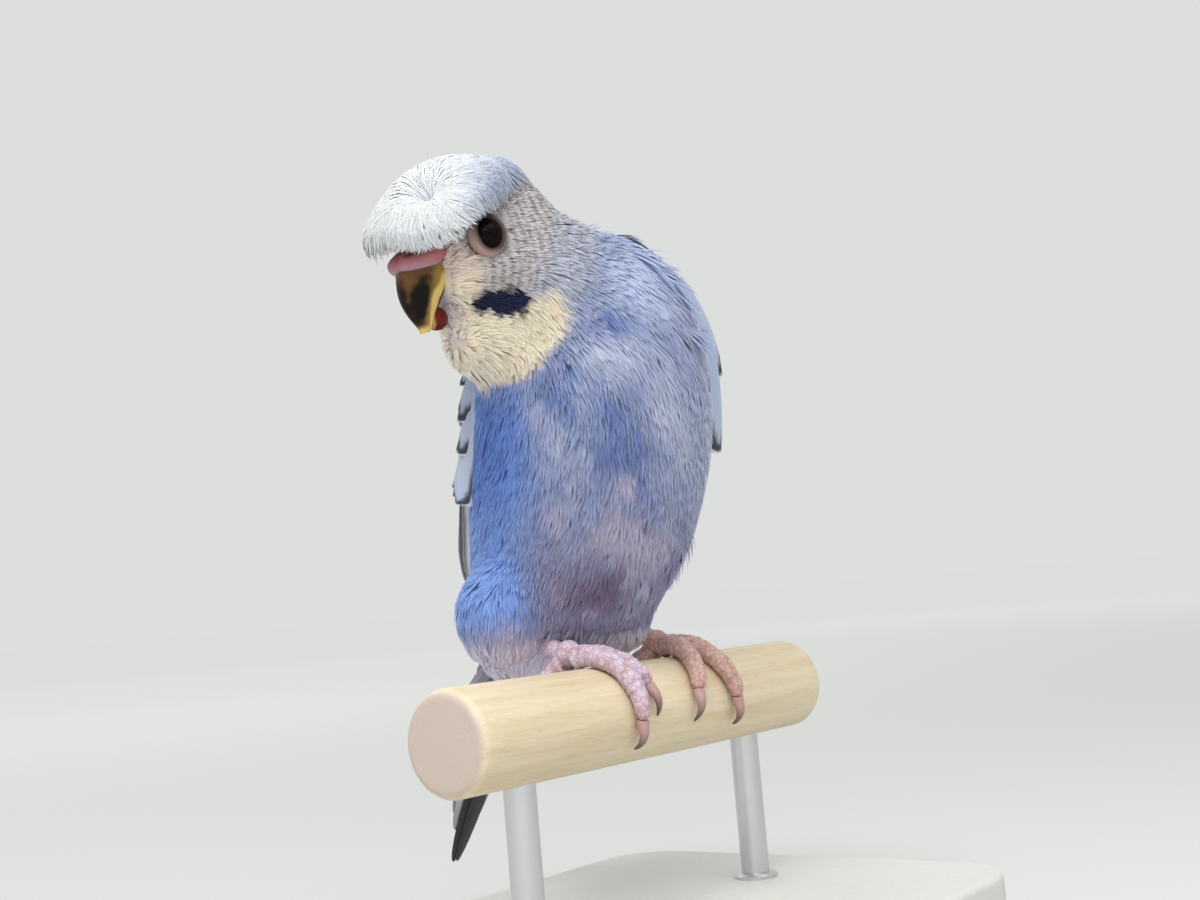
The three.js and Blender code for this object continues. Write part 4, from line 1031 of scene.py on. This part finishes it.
# The tail is twelve long feathers stacked under the middle pair, the outer ones each shorter, with
# coverts lapped over and under their roots. The outer ones are pale with a grey end, and the middle
# pair runs out to a long black point.
tail_root = np.array([1.2, 26, 10.4])
tail_tip = np.array([12, 56.5, -28])
tail_length = np.linalg.norm(tail_tip - tail_root)
tail_ahead = unit(tail_tip - tail_root)
tail_across = bird_frame(20, 0, 2)[1]
tail_over = -unit(np.cross(tail_across, tail_ahead))
# The share of the tail's length, the way out from the middle, the width and how the ends close in
tail_pairs = [(1.0, 0.9, 3.4, 0.3), (0.84, 1.95, 3.6, 0.8), (0.77, 2.5, 3.8, 0.85),
              (0.66, 3.1, 4.0, 0.9), (0.55, 3.8, 4.2, 1.0), (0.45, 4.5, 4.2, 1.0)]
# How far down the tail each row of its coverts reaches, and how many are in it
tail_coverts = [(22, 5), (16, 6), (11, 6)]
tail_black = tone(30, 30, 36)
tail_pale = tone(226, 218, 222)
tail_violet = tone(168, 164, 206)
tail_end_grey = tone(176, 170, 164)


def tail_place(along, out, height):
    return (tail_root + along[..., None] * tail_ahead + out[..., None] * tail_across
            + height[..., None] * tail_over)


def tail_colour(order, t, outer):
    """Black ends on the middle pair, and pale outer feathers with a dark shaft and a grey end."""
    if order == 0:
        return blend(tail_violet, tail_black, ease(t, 0.30, 0.52))
    colour = blend(tail_pale, tail_violet, ease(outer, 0.1, 0.9) * 0.6)
    colour = blend(colour, tail_end_grey, ease(t, 0.75, 0.95) * (0.75 if order < 4 else 0.25))
    return blend(colour, tail_black, ease(np.abs(outer - 0.15), 0.10, 0.02) * 0.7)


random = np.random.default_rng(41)
tail_vanes, t, across = [], t_grid, across_grid


def lay_tail_vane(along, outward, height, colour):
    upper = tail_place(along, outward, height + vane_thickness / 2)
    lower = tail_place(along, outward, height - vane_thickness / 2)
    tail_vanes.append((upper, lower, colour, spine_coordinates(upper[0, :1])[0]))


for order, (share, out, wide, close) in enumerate(tail_pairs):
    for side in (1, -1):
        own = 0.2 * side if order == 0 else 0.05 * side
        fan = (0.35 + 0.65 * np.minimum(1, t * 2.2)) * (1 + (close - 1) * t * t)
        outward = side * out * fan + across * vane_outline(t, 0.28 if order else 0.4, 0.5) * wide / 2
        drop = 0.62 * order - own + 0.16 * np.abs(outward) - 1.4
        along = -2 + (tail_length * share + 2) * t * (1 + random.normal(0, 0.006))
        bow = 0.12 * (1 - across ** 2)
        lay_tail_vane(along, outward, bow - drop, tail_colour(order, t, across * side))
for face_side in (1, -1):
    base = pink_white if face_side < 0 else breast_blue
    for row, (reach, count) in enumerate(tail_coverts):
        for i in range(count):
            place = -1 + 2 * i / (count - 1)
            end = reach - 4 * abs(place) + random.normal(0, 0.4)
            outward = place * (1.8 + 2.2 * t) + across * vane_outline(t, 0.5) * 2.2
            layer = 0.35 * row
            lift = (0.9 + 1.8 * t + layer) if face_side > 0 else -(1.6 + 2.9 * t + layer)
            drop = face_side * (0.5 * abs(place) + 0.12 * np.abs(outward)) - 0.15 * across * place
            colour = np.broadcast_to(base, t.shape + (3,)) * (1 + random.normal(0, 0.04))
            lay_tail_vane(-3 + (end + 3) * t, outward, lift - drop, colour)
fit_piece("tail_feathers", joined_vanes("tail_feathers", tail_vanes), vane_finish, "tail_feathers",
          "tail")


# The crest is a cap of fine white feathers that radiate from one whorl at the front of the crown.
# They rise from it, run out flat and fall over the brow and the eyes in a thick brim, and behind
# they lie down into the nape. A few tips are dark.
head_front, head_back, head_side, head_top, head_low = 11.0, 12.5, 10.8, 11.0, 11.5
crown_back_forward, crown_back_up, crown_back_radius, crown_ease = -9.0, 2.8, 9.3, 0.6
whorl_forward, whorl_left, whorl_up = 8.0, 5.0, 8.7
crest_middle = unit([whorl_forward / head_front, whorl_left / head_side, whorl_up / head_top])
crest_white = tone(236, 240, 246)
crest_painted_shade = tone(218, 222, 224)
crest_blue = tone(160, 172, 202)
crest_speck = tone(74, 70, 70)


def head_skin(direction, lift):
    """Places on the head by a direction in its own scaled space, lifted off it."""
    reach = np.stack([direction[..., 0] * np.where(direction[..., 0] > 0, head_front, head_back),
                      direction[..., 1] * head_side,
                      direction[..., 2] * np.where(direction[..., 2] > 0, head_top, head_low)], -1)
    near = np.linalg.norm(reach, axis=-1)
    way = reach / near[..., None]
    inner = way[..., 0] * crown_back_forward + way[..., 2] * crown_back_up
    miss = crown_back_forward ** 2 + crown_back_up ** 2 - inner ** 2
    outer = np.where(inner > 0, inner + np.sqrt(np.maximum(0, crown_back_radius ** 2 - miss)), 0)
    crown = np.maximum(near, outer) + crown_ease * np.log1p(np.exp(-np.abs(near - outer) / crown_ease))
    reach = way * (crown + lift)[..., None]
    return head_point(reach[..., 0], reach[..., 1], reach[..., 2])


def crest_place(around, s, sway, layer):
    """Places in the crest: degrees round from the front, share of the way out from the whorl,
    sideways sway and layer from the skin to the top, all of one shape."""
    back = ease(np.abs(around), 40, 140)
    rise = np.radians(14 - 9 * ease(around, -4, 28) * ease(around, 70, 46) + 21 * back)
    stand_off = 1.5 * (1 - np.exp(-((np.abs(around) - 85) / 32) ** 2)) * ease(np.abs(around), 100, 84)
    turn = np.radians(around)
    end = np.stack([np.cos(rise) * np.cos(turn), np.cos(rise) * np.sin(turn), np.sin(rise)], -1)
    angle = np.arccos(np.clip(end @ crest_middle, -1, 1))
    away = unit(end - crest_middle * (end @ crest_middle)[..., None])
    direction = unit(crest_middle * np.cos(angle * s)[..., None] + away * np.sin(angle * s)[..., None]
                     + np.cross(crest_middle, away) * (sway * s)[..., None])
    full = (0.5 + 3.9 * layer) * (1 - 0.5 * ease(-direction[..., 0], 0.1, 0.7))
    thin = 0.34 * ease(s, 0.72, 1.05) + 0.58 * back * ease(s, 0.66, 1.0)
    swell = ease(angle * s, -0.26, 0.34) * (1 - thin)
    return head_skin(direction, full * swell + stand_off * s - 0.9 * back * ease(s, 0.8, 1.0))


crest_strands, crest_rings, crest_gain = 6600, 5, 1.15
crest_half_wide = 0.23 * np.array([0.5, 0.9, 1.05, 1.0, 0.75, 0.0])
dark_tips, whorl_painted_shade, whorl_reach = 0.022, tone(196, 196, 220), 1.3
random = np.random.default_rng(51)
around = random.uniform(-180, 180, crest_strands)
layer = np.where(random.random(crest_strands) < 0.7, random.uniform(0.86, 1.0, crest_strands),
                 random.uniform(0.05, 0.9, crest_strands))
start = random.uniform(0.0, 0.62, crest_strands)
finish_at = np.clip(start + random.uniform(0.38, 0.75, crest_strands), 0, 1.0)
crest_reach = np.where(finish_at > 0.93, random.normal(0.985, 0.03, crest_strands), finish_at)
t = np.linspace(0, 1, crest_rings + 1)
s = start[:, None] + (crest_reach - start)[:, None] * t
sway = random.normal(0, 0.05, crest_strands)[:, None] * t ** 2
ring_around, ring_layer = around[:, None] + 0 * s, layer[:, None] * np.minimum(1, 0.3 + t * 3)[None]
spine = crest_place(ring_around, s, sway, ring_layer)
near_top = np.full_like(s, 0.9)
out_step = (crest_place(ring_around, s + 0.02, sway, near_top)
            - crest_place(ring_around, s - 0.02, sway, near_top))
side_step = (crest_place(ring_around + 2, s, sway, near_top)
             - crest_place(ring_around - 2, s, sway, near_top))
above = unit(np.cross(out_step, side_step))
above = above * np.sign((above * (spine - head_centre)).sum(-1, keepdims=True))
across = unit(np.cross(np.gradient(spine, axis=1), above))
half = crest_half_wide * random.uniform(0.75, 1.3, (crest_strands, 1)) * (0.5 + 0.7 * s)
back = ease(np.abs(around), 40, 140)[:, None]
side_share = ease(np.abs(around), 45, 100)[:, None] * ease(s, 0.35, 0.85)
# The brim's outer ends in front are painted greyer, painted shade where they face down.
colour = blend(crest_white, crest_painted_shade, ease(s, 0.55, 0.95) * (1 - back) * 0.6)
# The hollow round the whorl is painted a lilac grey, painted shade in the dimple.
whorl = crest_place(np.zeros(1), np.zeros(1), np.zeros(1), np.full(1, 0.9))
dimple = np.linalg.norm(spine - whorl, axis=-1)
colour = blend(colour, whorl_painted_shade, 0.8 * np.exp(-(dimple / whorl_reach) ** 2))
colour = blend(colour, crest_blue, np.clip(0.75 * side_share + 0.35 * back * ease(s, 0.1, 0.6)
                                           + 0.14 * clouds(spine, 4.0, 61), 0, 1))
behind = ease(np.abs(around), 62, 95)[:, None] * ease(s, 0.84, 1.02)
colour = blend(colour, plumage(spine), behind)
speck = (random.random(crest_strands) < dark_tips) & (crest_reach > 0.7) & (np.abs(around) < 80)
near_tip = ease(t, 0.60, 0.7) * ease(t, 1.05, 0.9)
colour = blend(colour, crest_speck, speck[:, None] * near_tip[None])
# Each strand differs at random in tone and is painted darker toward its root, painted shade under the
# strands over it.
shade = random.normal(1, 0.05, (crest_strands, 1, 1)) * np.interp(t, [0, 0.4, 1], [0.9, 0.99, 1])[:, None]
colour = crest_gain * colour * shade
root_uv = spine_coordinates(spine[:, 2])[:, None]
crest_uv = root_uv + np.stack([np.zeros_like(s), (t[None] - 0.5) * patch_across + 0 * s], -1)
crest_mesh = blades_mesh("crest_feathers", spine, across, above, half, colour, crest_uv)
fit_piece("crest_feathers", crest_mesh, feather_finish, "crest_feathers", "crest")


# Each eye is a dark, wet ball, set in the head so that only an oval of it shows inside a rim of bare
# brown skin. The iris of a young bird is as dark as the pupil.
eyeball_radius, eye_depth = 3.0, 1.7
eye_half_wide, eye_half_tall = 1.95, 2.42
eye_finish, tree, face = finish_of("wet_eye", (0.004, 0.003, 0.003), 0.05)
iris_noise = node_of(tree, "TexNoise", "Fac",
                     {"Vector": node_of(tree, "TexCoord", "Object"), "Scale": 1500})
iris_tone = ramp_of(tree, iris_noise, (0.002, 0.002, 0.002), (0.006, 0.004, 0.003))
set_inputs(tree, face, {"Base Color": iris_tone, "Specular IOR Level": 0.05})
lid_finish, tree, face = finish_of("bare_lid_skin", (0.5, 0.4, 0.36), 0.6)
lid_pores = node_of(tree, "TexVoronoi", "Distance", {"Scale": 3800})
set_inputs(tree, face, {"Base Color": plume_of(tree), "Normal": bump_of(tree, lid_pores, 0.5, 0.0001)})


def egg_places(middle, axes, radii, rows, around):
    """A closed egg of rings, its front, back, side, up and down radii each its own."""
    places = []
    for row in range(1, rows):
        slope = math.pi * row / rows
        for i in range(around):
            angle = 2 * math.pi * i / around
            f, l = math.sin(slope) * math.cos(angle), math.sin(slope) * math.sin(angle)
            u = math.cos(slope)
            places.append(middle + axes[0] * f * radii[0 if f > 0 else 1] + axes[1] * l * radii[2]
                          + axes[2] * u * radii[3 if u > 0 else 4])
    return np.array(places)


lid_around, rim_dark, rim_bare = 72, tone(58, 44, 40), tone(142, 116, 110)
face_near, face_bare = tone(128, 122, 122), tone(176, 148, 138)
# The rim's profile, out from the oval's edge and up from the ball there
rim_profile = [(-0.10, -0.45), (-0.05, 0.06), (0.04, 0.13), (0.14, 0.14), (0.24, 0.07), (0.31, -0.02),
               (0.40, 0.03), (0.52, -0.05), (0.75, -0.25), (1.05, -0.6), (1.25, -1.5)]
for side, name in ((1, "left"), (-1, "right")):
    out = unit(head_forward * 0.3 + head_left * 0.94 * side + head_up * 0.12)
    spot = head_point(eye_forward, eye_side * side, eye_height)
    middle = spot - out * eye_depth
    first = unit(np.cross(out, head_up))
    first = first * np.sign(first @ head_forward)
    second = unit(head_up - out * (out @ head_up))
    ball = egg_places(middle, (first, second, out), [eyeball_radius] * 5, 32, 48)
    fit_piece("eyeball_" + name, mesh_of("eyeball_" + name, in_place(ball), ring_faces(31, 48)),
              eye_finish, "eye_surface", "eye_" + name)
    rim, tones = [], []
    for wide, height in rim_profile:
        for i in range(lid_around):
            angle = 2 * math.pi * i / lid_around
            wide_here = wide * (1 + 0.12 * ease(math.cos(angle - 0.4), 0.2, 0.9))
            reach_first = (eye_half_wide + wide_here) * math.cos(angle)
            reach_second = (eye_half_tall + wide_here) * math.sin(angle)
            edge_reach = math.hypot(eye_half_wide * math.cos(angle), eye_half_tall * math.sin(angle))
            edge_height = math.sqrt(eyeball_radius ** 2 - edge_reach ** 2) - eye_depth
            fold = 0.03 * math.sin(angle * 16) * ease(wide, 0.2, 0.4) * ease(wide, 1.0, 0.7)
            rim.append(spot + first * reach_first + second * reach_second
                       + out * (edge_height + height + fold))
            bare = ease(math.cos(angle + 0.5), -0.1, 0.7) * ease(wide, 0.15, 0.35)
            # The rim is painted darker in a line along its fold, painted shade in the crease.
            crease_painted_shade = 1 - 0.5 * math.exp(-((wide - 0.42) / 0.08) ** 2)
            paleness = (0.15 + 0.85 * bare) * ease(wide, 0.1, 0.3) * crease_painted_shade
            tones.append(blend(blend(rim_dark, rim_bare, paleness),
                               blend(face_near, face_bare, bare), 0.8 * ease(wide, 0.45, 0.8)))
    lid_mesh = mesh_of("lids_" + name, in_place(rim),
                       ring_faces(len(rim_profile), lid_around, closed_ends=False))
    keep_colours(lid_mesh, np.array(tones))
    lids = fit_piece("lids_" + name, lid_mesh, lid_finish, "cere_skin")
    lids.modifiers.new("shell", "SOLIDIFY").thickness = 0.12 * MM


# The cere is the swollen, bare skin over the root of the bill, pink and lilac in a young bird, with
# a shallow groove down its middle and a nostril on each side.
def uneven(tree, face, scale, strength):
    """Gives bare skin or horn the colours that its mesh keeps and a fine uneven surface."""
    grain = node_of(tree, "TexNoise", "Fac", {"Scale": scale, "Detail": 4})
    set_inputs(tree, face, {"Base Color": plume_of(tree),
                            "Normal": bump_of(tree, grain, strength, 0.0001)})


groove_depth, nostril_deep, nostril_rim = 0.4, 0.9, 0.18
cere_axes = bird_frame(head_turn, 22)
cere_places = egg_places(head_point(8.7, 0, 0.8), cere_axes, (5.2, 4, 5.6, 2.4, 2.5), 40, 72)
cere_side = (cere_places - head_centre) @ head_left
cere_out = unit(cere_places - head_point(7.6, 0, 0.6))
groove = np.exp(-(cere_side / 0.75) ** 2)
cere_places = cere_places - cere_out * (groove_depth * groove)[:, None]
nostril_depth = np.zeros(len(cere_places))
for side in (1, -1):
    far = np.linalg.norm(cere_places - head_point(12.4, 2.3 * side, 1.9), axis=1)
    nostril_depth += np.exp(-(far / 0.6) ** 2)
    cere_places = cere_places + cere_out * (nostril_rim * np.exp(-((far - 1.2) / 0.5) ** 2))[:, None]
cere_places = cere_places - cere_out * (nostril_deep * nostril_depth)[:, None]
cere_mesh = mesh_of("cere_skin", in_place(cere_places), ring_faces(39, 72))
cere_up = (cere_places - head_centre) @ head_up
cere_tone = blend(tone(160, 92, 98), tone(168, 140, 164), ease(cere_up, 1.0, -1.2))
cere_tone = blend(cere_tone, tone(172, 98, 100), ease(np.abs(cere_side), 3.6, 5.2) * 0.8)
cere_tone = cere_tone * (1 + 0.12 * clouds(cere_places, 1.4, 71))[:, None]
# The nostrils are painted dark, painted shade inside the openings.
cere_tone = blend(cere_tone, tone(70, 30, 40), np.clip(nostril_depth * 1.3, 0, 1) ** 2)
keep_colours(cere_mesh, cere_tone)
cere_finish, tree, face = finish_of("bare_cere", (0.5, 0.3, 0.4), 0.5)
set_inputs(tree, face, {"Subsurface Weight": 0.2, "Subsurface Radius": (0.0012, 0.0005, 0.0004)})
uneven(tree, face, 1600, 0.35)
fit_piece("cere_skin", cere_mesh, cere_finish, "cere_skin", "cere")


# The bill is horn over bone. The upper half hooks down over the lower, with black blotches on brown
# and olive in a young bird and yellow along its cutting edge and point. The lower half is a short,
# dark red cup with a yellow rim.
bill_rows, bill_around = 48, 64
bill_top, bill_point = -0.6, -10.3
root_depth, point_depth, root_half, point_half = 6.4, 0.85, 4.8, 0.65
bill_places, bill_grid = [], []
for row in range(bill_rows + 1):
    t = row / bill_rows
    up = bill_top + (bill_point - bill_top) * t
    culmen = 13.4 + 1.2 * math.sin(math.pi * min(1, t * 1.1)) - 0.4 * t * t
    depth = root_depth + (point_depth - root_depth) * t
    half = root_half + (point_half - root_half) * t
    for i in range(bill_around):
        angle = 2 * math.pi * i / bill_around
        turned = math.atan2(math.sin(angle), math.cos(angle))
        ridge = 0.12 * math.exp(-(math.sin(angle / 2) / 0.12) ** 2) * (1 - t)
        notch = 0.25 * math.exp(-((abs(turned) - 1.85) / 0.16) ** 2)
        notch *= math.exp(-((t - 0.72) / 0.06) ** 2)
        bill_places.append(head_point(culmen - depth + (depth + ridge - notch) * math.cos(angle),
                                      (half - notch) * math.sin(angle), up))
        bill_grid.append((t, turned))
bill_places = np.array(bill_places)
bill_along, bill_round = np.array(bill_grid).T
horn_yellow, horn_olive = tone(214, 184, 112), tone(136, 112, 58)
horn_brown, horn_black = tone(96, 66, 38), tone(10, 6, 5)
gape = np.abs(bill_round) + 0.25 * clouds(bill_places, 1.6, 84) * (1 - bill_along)
bill_tone = blend(horn_olive, horn_brown, ease(gape, 1.35, 0.95))
# Blotches: how far down the bill, how far round, their reach each way and how black they are
for down, turn_to, tall, wide, strength in (
        (0.50, 0.92, 0.35, 0.56, 1.0), (0.44, -0.12, 0.36, 0.46, 0.95),
        (0.70, 0.40, 0.20, 0.62, 0.9), (0.62, -0.9, 0.3, 0.4, 0.9)):
    far = np.hypot((bill_along - down) / tall, (bill_round - turn_to) / wide)
    far = far + 0.25 * clouds(bill_places, 1.1, 81)
    bill_tone = blend(bill_tone, horn_black, ease(far, 1.25, 0.6) * strength)
edge_and_point = np.maximum(ease(gape, 1.5, 1.7) * ease(gape, 2.25, 2.0), ease(bill_along, 0.86, 0.97))
bill_tone = blend(bill_tone, horn_yellow, edge_and_point * 0.95)
bill_tone = blend(bill_tone, tone(70, 40, 26), ease(gape, 2.0, 2.25) * ease(bill_along, 0.98, 0.9))
bill_mesh = mesh_of("bill_horn_upper", in_place(bill_places), ring_faces(bill_rows + 1, bill_around))
keep_colours(bill_mesh, bill_tone)
bill_finish, tree, face = finish_of("bill_horn", (0.2, 0.15, 0.1), 0.5)
set_inputs(tree, face, {"Specular IOR Level": 0.14})
uneven(tree, face, 900, 0.15)
fit_piece("bill_horn_upper", bill_mesh, bill_finish, "bill_horn", "bill_upper")
lower_red, rim_yellow = tone(90, 26, 15), tone(206, 172, 116)
lower_places = egg_places(head_point(9.3, 0, -8.7), (head_forward, head_left, head_up),
                          (2.1, 2.0, 1.5, 1.9, 1.8), 24, 40)
lower_mesh = mesh_of("bill_horn_lower", in_place(lower_places), ring_faces(23, 40))
lower_tone = blend(lower_red * (1 + 0.2 * clouds(lower_places, 1.5, 83))[:, None], rim_yellow,
                   ease((lower_places - head_centre) @ head_forward, 10.3, 11.0))
keep_colours(lower_mesh, lower_tone)
fit_piece("bill_horn_lower", lower_mesh, bill_finish, "lower_bill_horn", "bill_lower")


# Each foot is a short bare shank and four toes in scaly skin, two before the dowel and two behind,
# gripping it. Broad scutes cross the top of each toe, and each ends in a curved horn claw.
touch_gap, toe_radius, shank_radius, heel_radius = 0.3, 1.85, 1.7, 2.15
claw_length, claw_radius, foot_voxel = 4.7, 1.0, 0.00021
limb_around, claw_around, shank_rings, toe_rings, toe_scutes = 18, 16, 14, 56, 13
foot_pink, foot_lilac, foot_brown, toe_rose = (
    tone(206, 172, 162), tone(206, 192, 216), tone(174, 134, 118), tone(206, 150, 146))
# Each leg's ball of the foot, the ankle and the top of the shank from there, and of each toe the
# name, how far it spreads along the dowel and how many degrees it goes round it
legs = {
    "right": ((-12.5, 3.2, 10.2), (0.2, 3.4, 1.0), (0.2, 7.6, 3.4), [
        ("outer_front", 1.4, 92), ("inner_front", 5.2, 58),
        ("outer_rear", -3.6, -92), ("inner_rear", 3.6, -66)]),
    "left": ((12.0, 3.2, 10.2), (-2.2, 2.4, 2.2), (-7.4, 7.0, 7.0), [
        ("outer_front", 4.2, 86), ("inner_front", -6.6, 72),
        ("outer_rear", 4.0, -90), ("inner_rear", -5.0, -62)]),
}


def on_perch(x, around, lift):
    """Places over the dowel, by degrees round it from its top toward the front."""
    around, reach = np.radians(around), perch_radius + lift
    return np.stack([x, -np.sin(around) * reach, np.cos(around) * reach], -1)


def tube(path, radii, around=limb_around):
    """Rings of a round limb along a path."""
    tangents = unit(np.gradient(path, axis=0))
    reference = unit(np.cross(tangents[0], [0.31, 0.17, 0.93]))
    places = []
    for place, tangent, radius in zip(path, tangents, radii):
        reference = unit(reference - tangent * (reference @ tangent))
        other = np.cross(tangent, reference)
        for i in range(around):
            angle = 2 * math.pi * i / around
            places.append(place + radius * (reference * math.cos(angle) + other * math.sin(angle)))
    return np.array(places)


foot_finish, tree, face = finish_of("scaled_foot_skin", (0.45, 0.33, 0.32), 0.55)
uneven(tree, face, 2400, 0.45)
# The scales' edges show as fine darker lines
scale_cells = node_of(tree, "TexVoronoi", "Distance",
                      {"Vector": node_of(tree, "TexCoord", "Object"), "Scale": 1150},
                      feature="DISTANCE_TO_EDGE")
scale_lines = ramp_of(tree, scale_cells, (0.70, 0.62, 0.62), (1, 1, 1), ends=(0.0, 0.16))
plain_foot = face.inputs["Base Color"].links[0].from_socket
scaled_foot = node_of(tree, "Mix", "Result", {"Factor": 1.0, "A": plain_foot, "B": scale_lines},
                      data_type="RGBA", blend_type="MULTIPLY")
set_inputs(tree, face, {"Base Color": scaled_foot, "Subsurface Weight": 0.15,
                        "Subsurface Radius": (0.001, 0.0004, 0.0003)})
claw_finish, tree, face = finish_of("claw_horn", (0.2, 0.15, 0.13), 0.35)
uneven(tree, face, 1500, 0.2)
for leg_name, (ball, ankle, top, toes) in legs.items():
    ball = np.array(ball)
    places, faces, count = [], [], 0
    shank_share = np.linspace(0, 1, shank_rings)
    shank = through([ball, ball + ankle, ball + top], shank_share)
    limbs = [(shank, shank_radius - 0.2 * shank_share)]
    for toe, reach, end in toes:
        start = -14 if end > 0 else -30
        t = np.linspace(0, 1, toe_rings)
        thick = toe_radius * (1 - 0.28 * t) * np.sqrt(1 - 0.72 * np.clip((t - 0.88) / 0.12, 0, 1) ** 2)
        path = on_perch(ball[0] + reach * t, start + (end - start) * t, touch_gap * 0.4 + thick)
        scute = np.abs(((t * toe_scutes) % 1) - 0.5) * 2
        joints = 0.05 * np.cos(6 * math.pi * t)
        limbs.append((path, thick * (0.86 + 0.22 * np.sqrt(1 - 0.95 * scute ** 2) + joints)))
    heel_steps = np.linspace(-1, 1, 12)
    heel = np.array([ball + [0, 0.4 + 0.3 * h, 0.3] for h in heel_steps])
    limbs.append((heel + np.outer(heel_steps, [0, 1.6, 0.3]),
                  heel_radius * np.sqrt(np.clip(1.02 - heel_steps ** 2, 0.05, 1))))
    for path, radii in limbs:
        ring = tube(path, radii)
        places.append(ring)
        faces += [tuple(count + i for i in f) for f in ring_faces(len(path), limb_around)]
        count += len(ring)
    rough = mesh_of("foot", in_place(np.vstack(places)), faces)
    foot_mesh = fused("foot", rough, foot_voxel, smoothing=1)
    foot_places = places_of(foot_mesh)
    skin_tone = blend(foot_pink, foot_lilac, 0.8 if leg_name == "right" else 0.0)
    skin_tone = blend(skin_tone, foot_brown, ease(clouds(foot_places, 1.6, 91), -0.1, 0.5) * 0.55)
    skin_tone = blend(skin_tone, toe_rose, ease(foot_places[:, 2], 5.0, -1.0) * 0.5)
    keep_colours(foot_mesh, skin_tone)
    fit_piece(f"foot_{leg_name}_scaled", foot_mesh, foot_finish, "foot_scales", f"foot_{leg_name}")
    for toe, reach, end in toes:
        sign = 1 if end > 0 else -1
        t = np.linspace(-0.12, 1, 26)
        turned = sign * math.degrees(claw_length / (perch_radius + 1.2))
        lift = touch_gap * 0.5 + 0.95 - 0.6 * t + 0.7 * np.sin(math.pi * np.clip(t, 0, 1))
        path = on_perch(ball[0] + reach * (1.02 + 0.16 * t), end + sign * 5.5 + turned * t, lift)
        radii = np.clip(claw_radius - 0.85 * np.clip(t, 0, 1) ** 1.2, 0.08, claw_radius)
        ring = tube(path, radii, around=claw_around)
        claw_mesh = mesh_of("claw", in_place(ring), ring_faces(len(path), claw_around))
        claw_tone = blend(tone(176, 140, 134), tone(92, 74, 70), ease(t, 0.1, 0.9))
        keep_colours(claw_mesh, np.repeat(claw_tone, claw_around, axis=0))
        fit_piece(f"claw_{leg_name}_{toe}_horn", claw_mesh, claw_finish, "claw_horn",
                  f"claw_{leg_name}_{toe}")
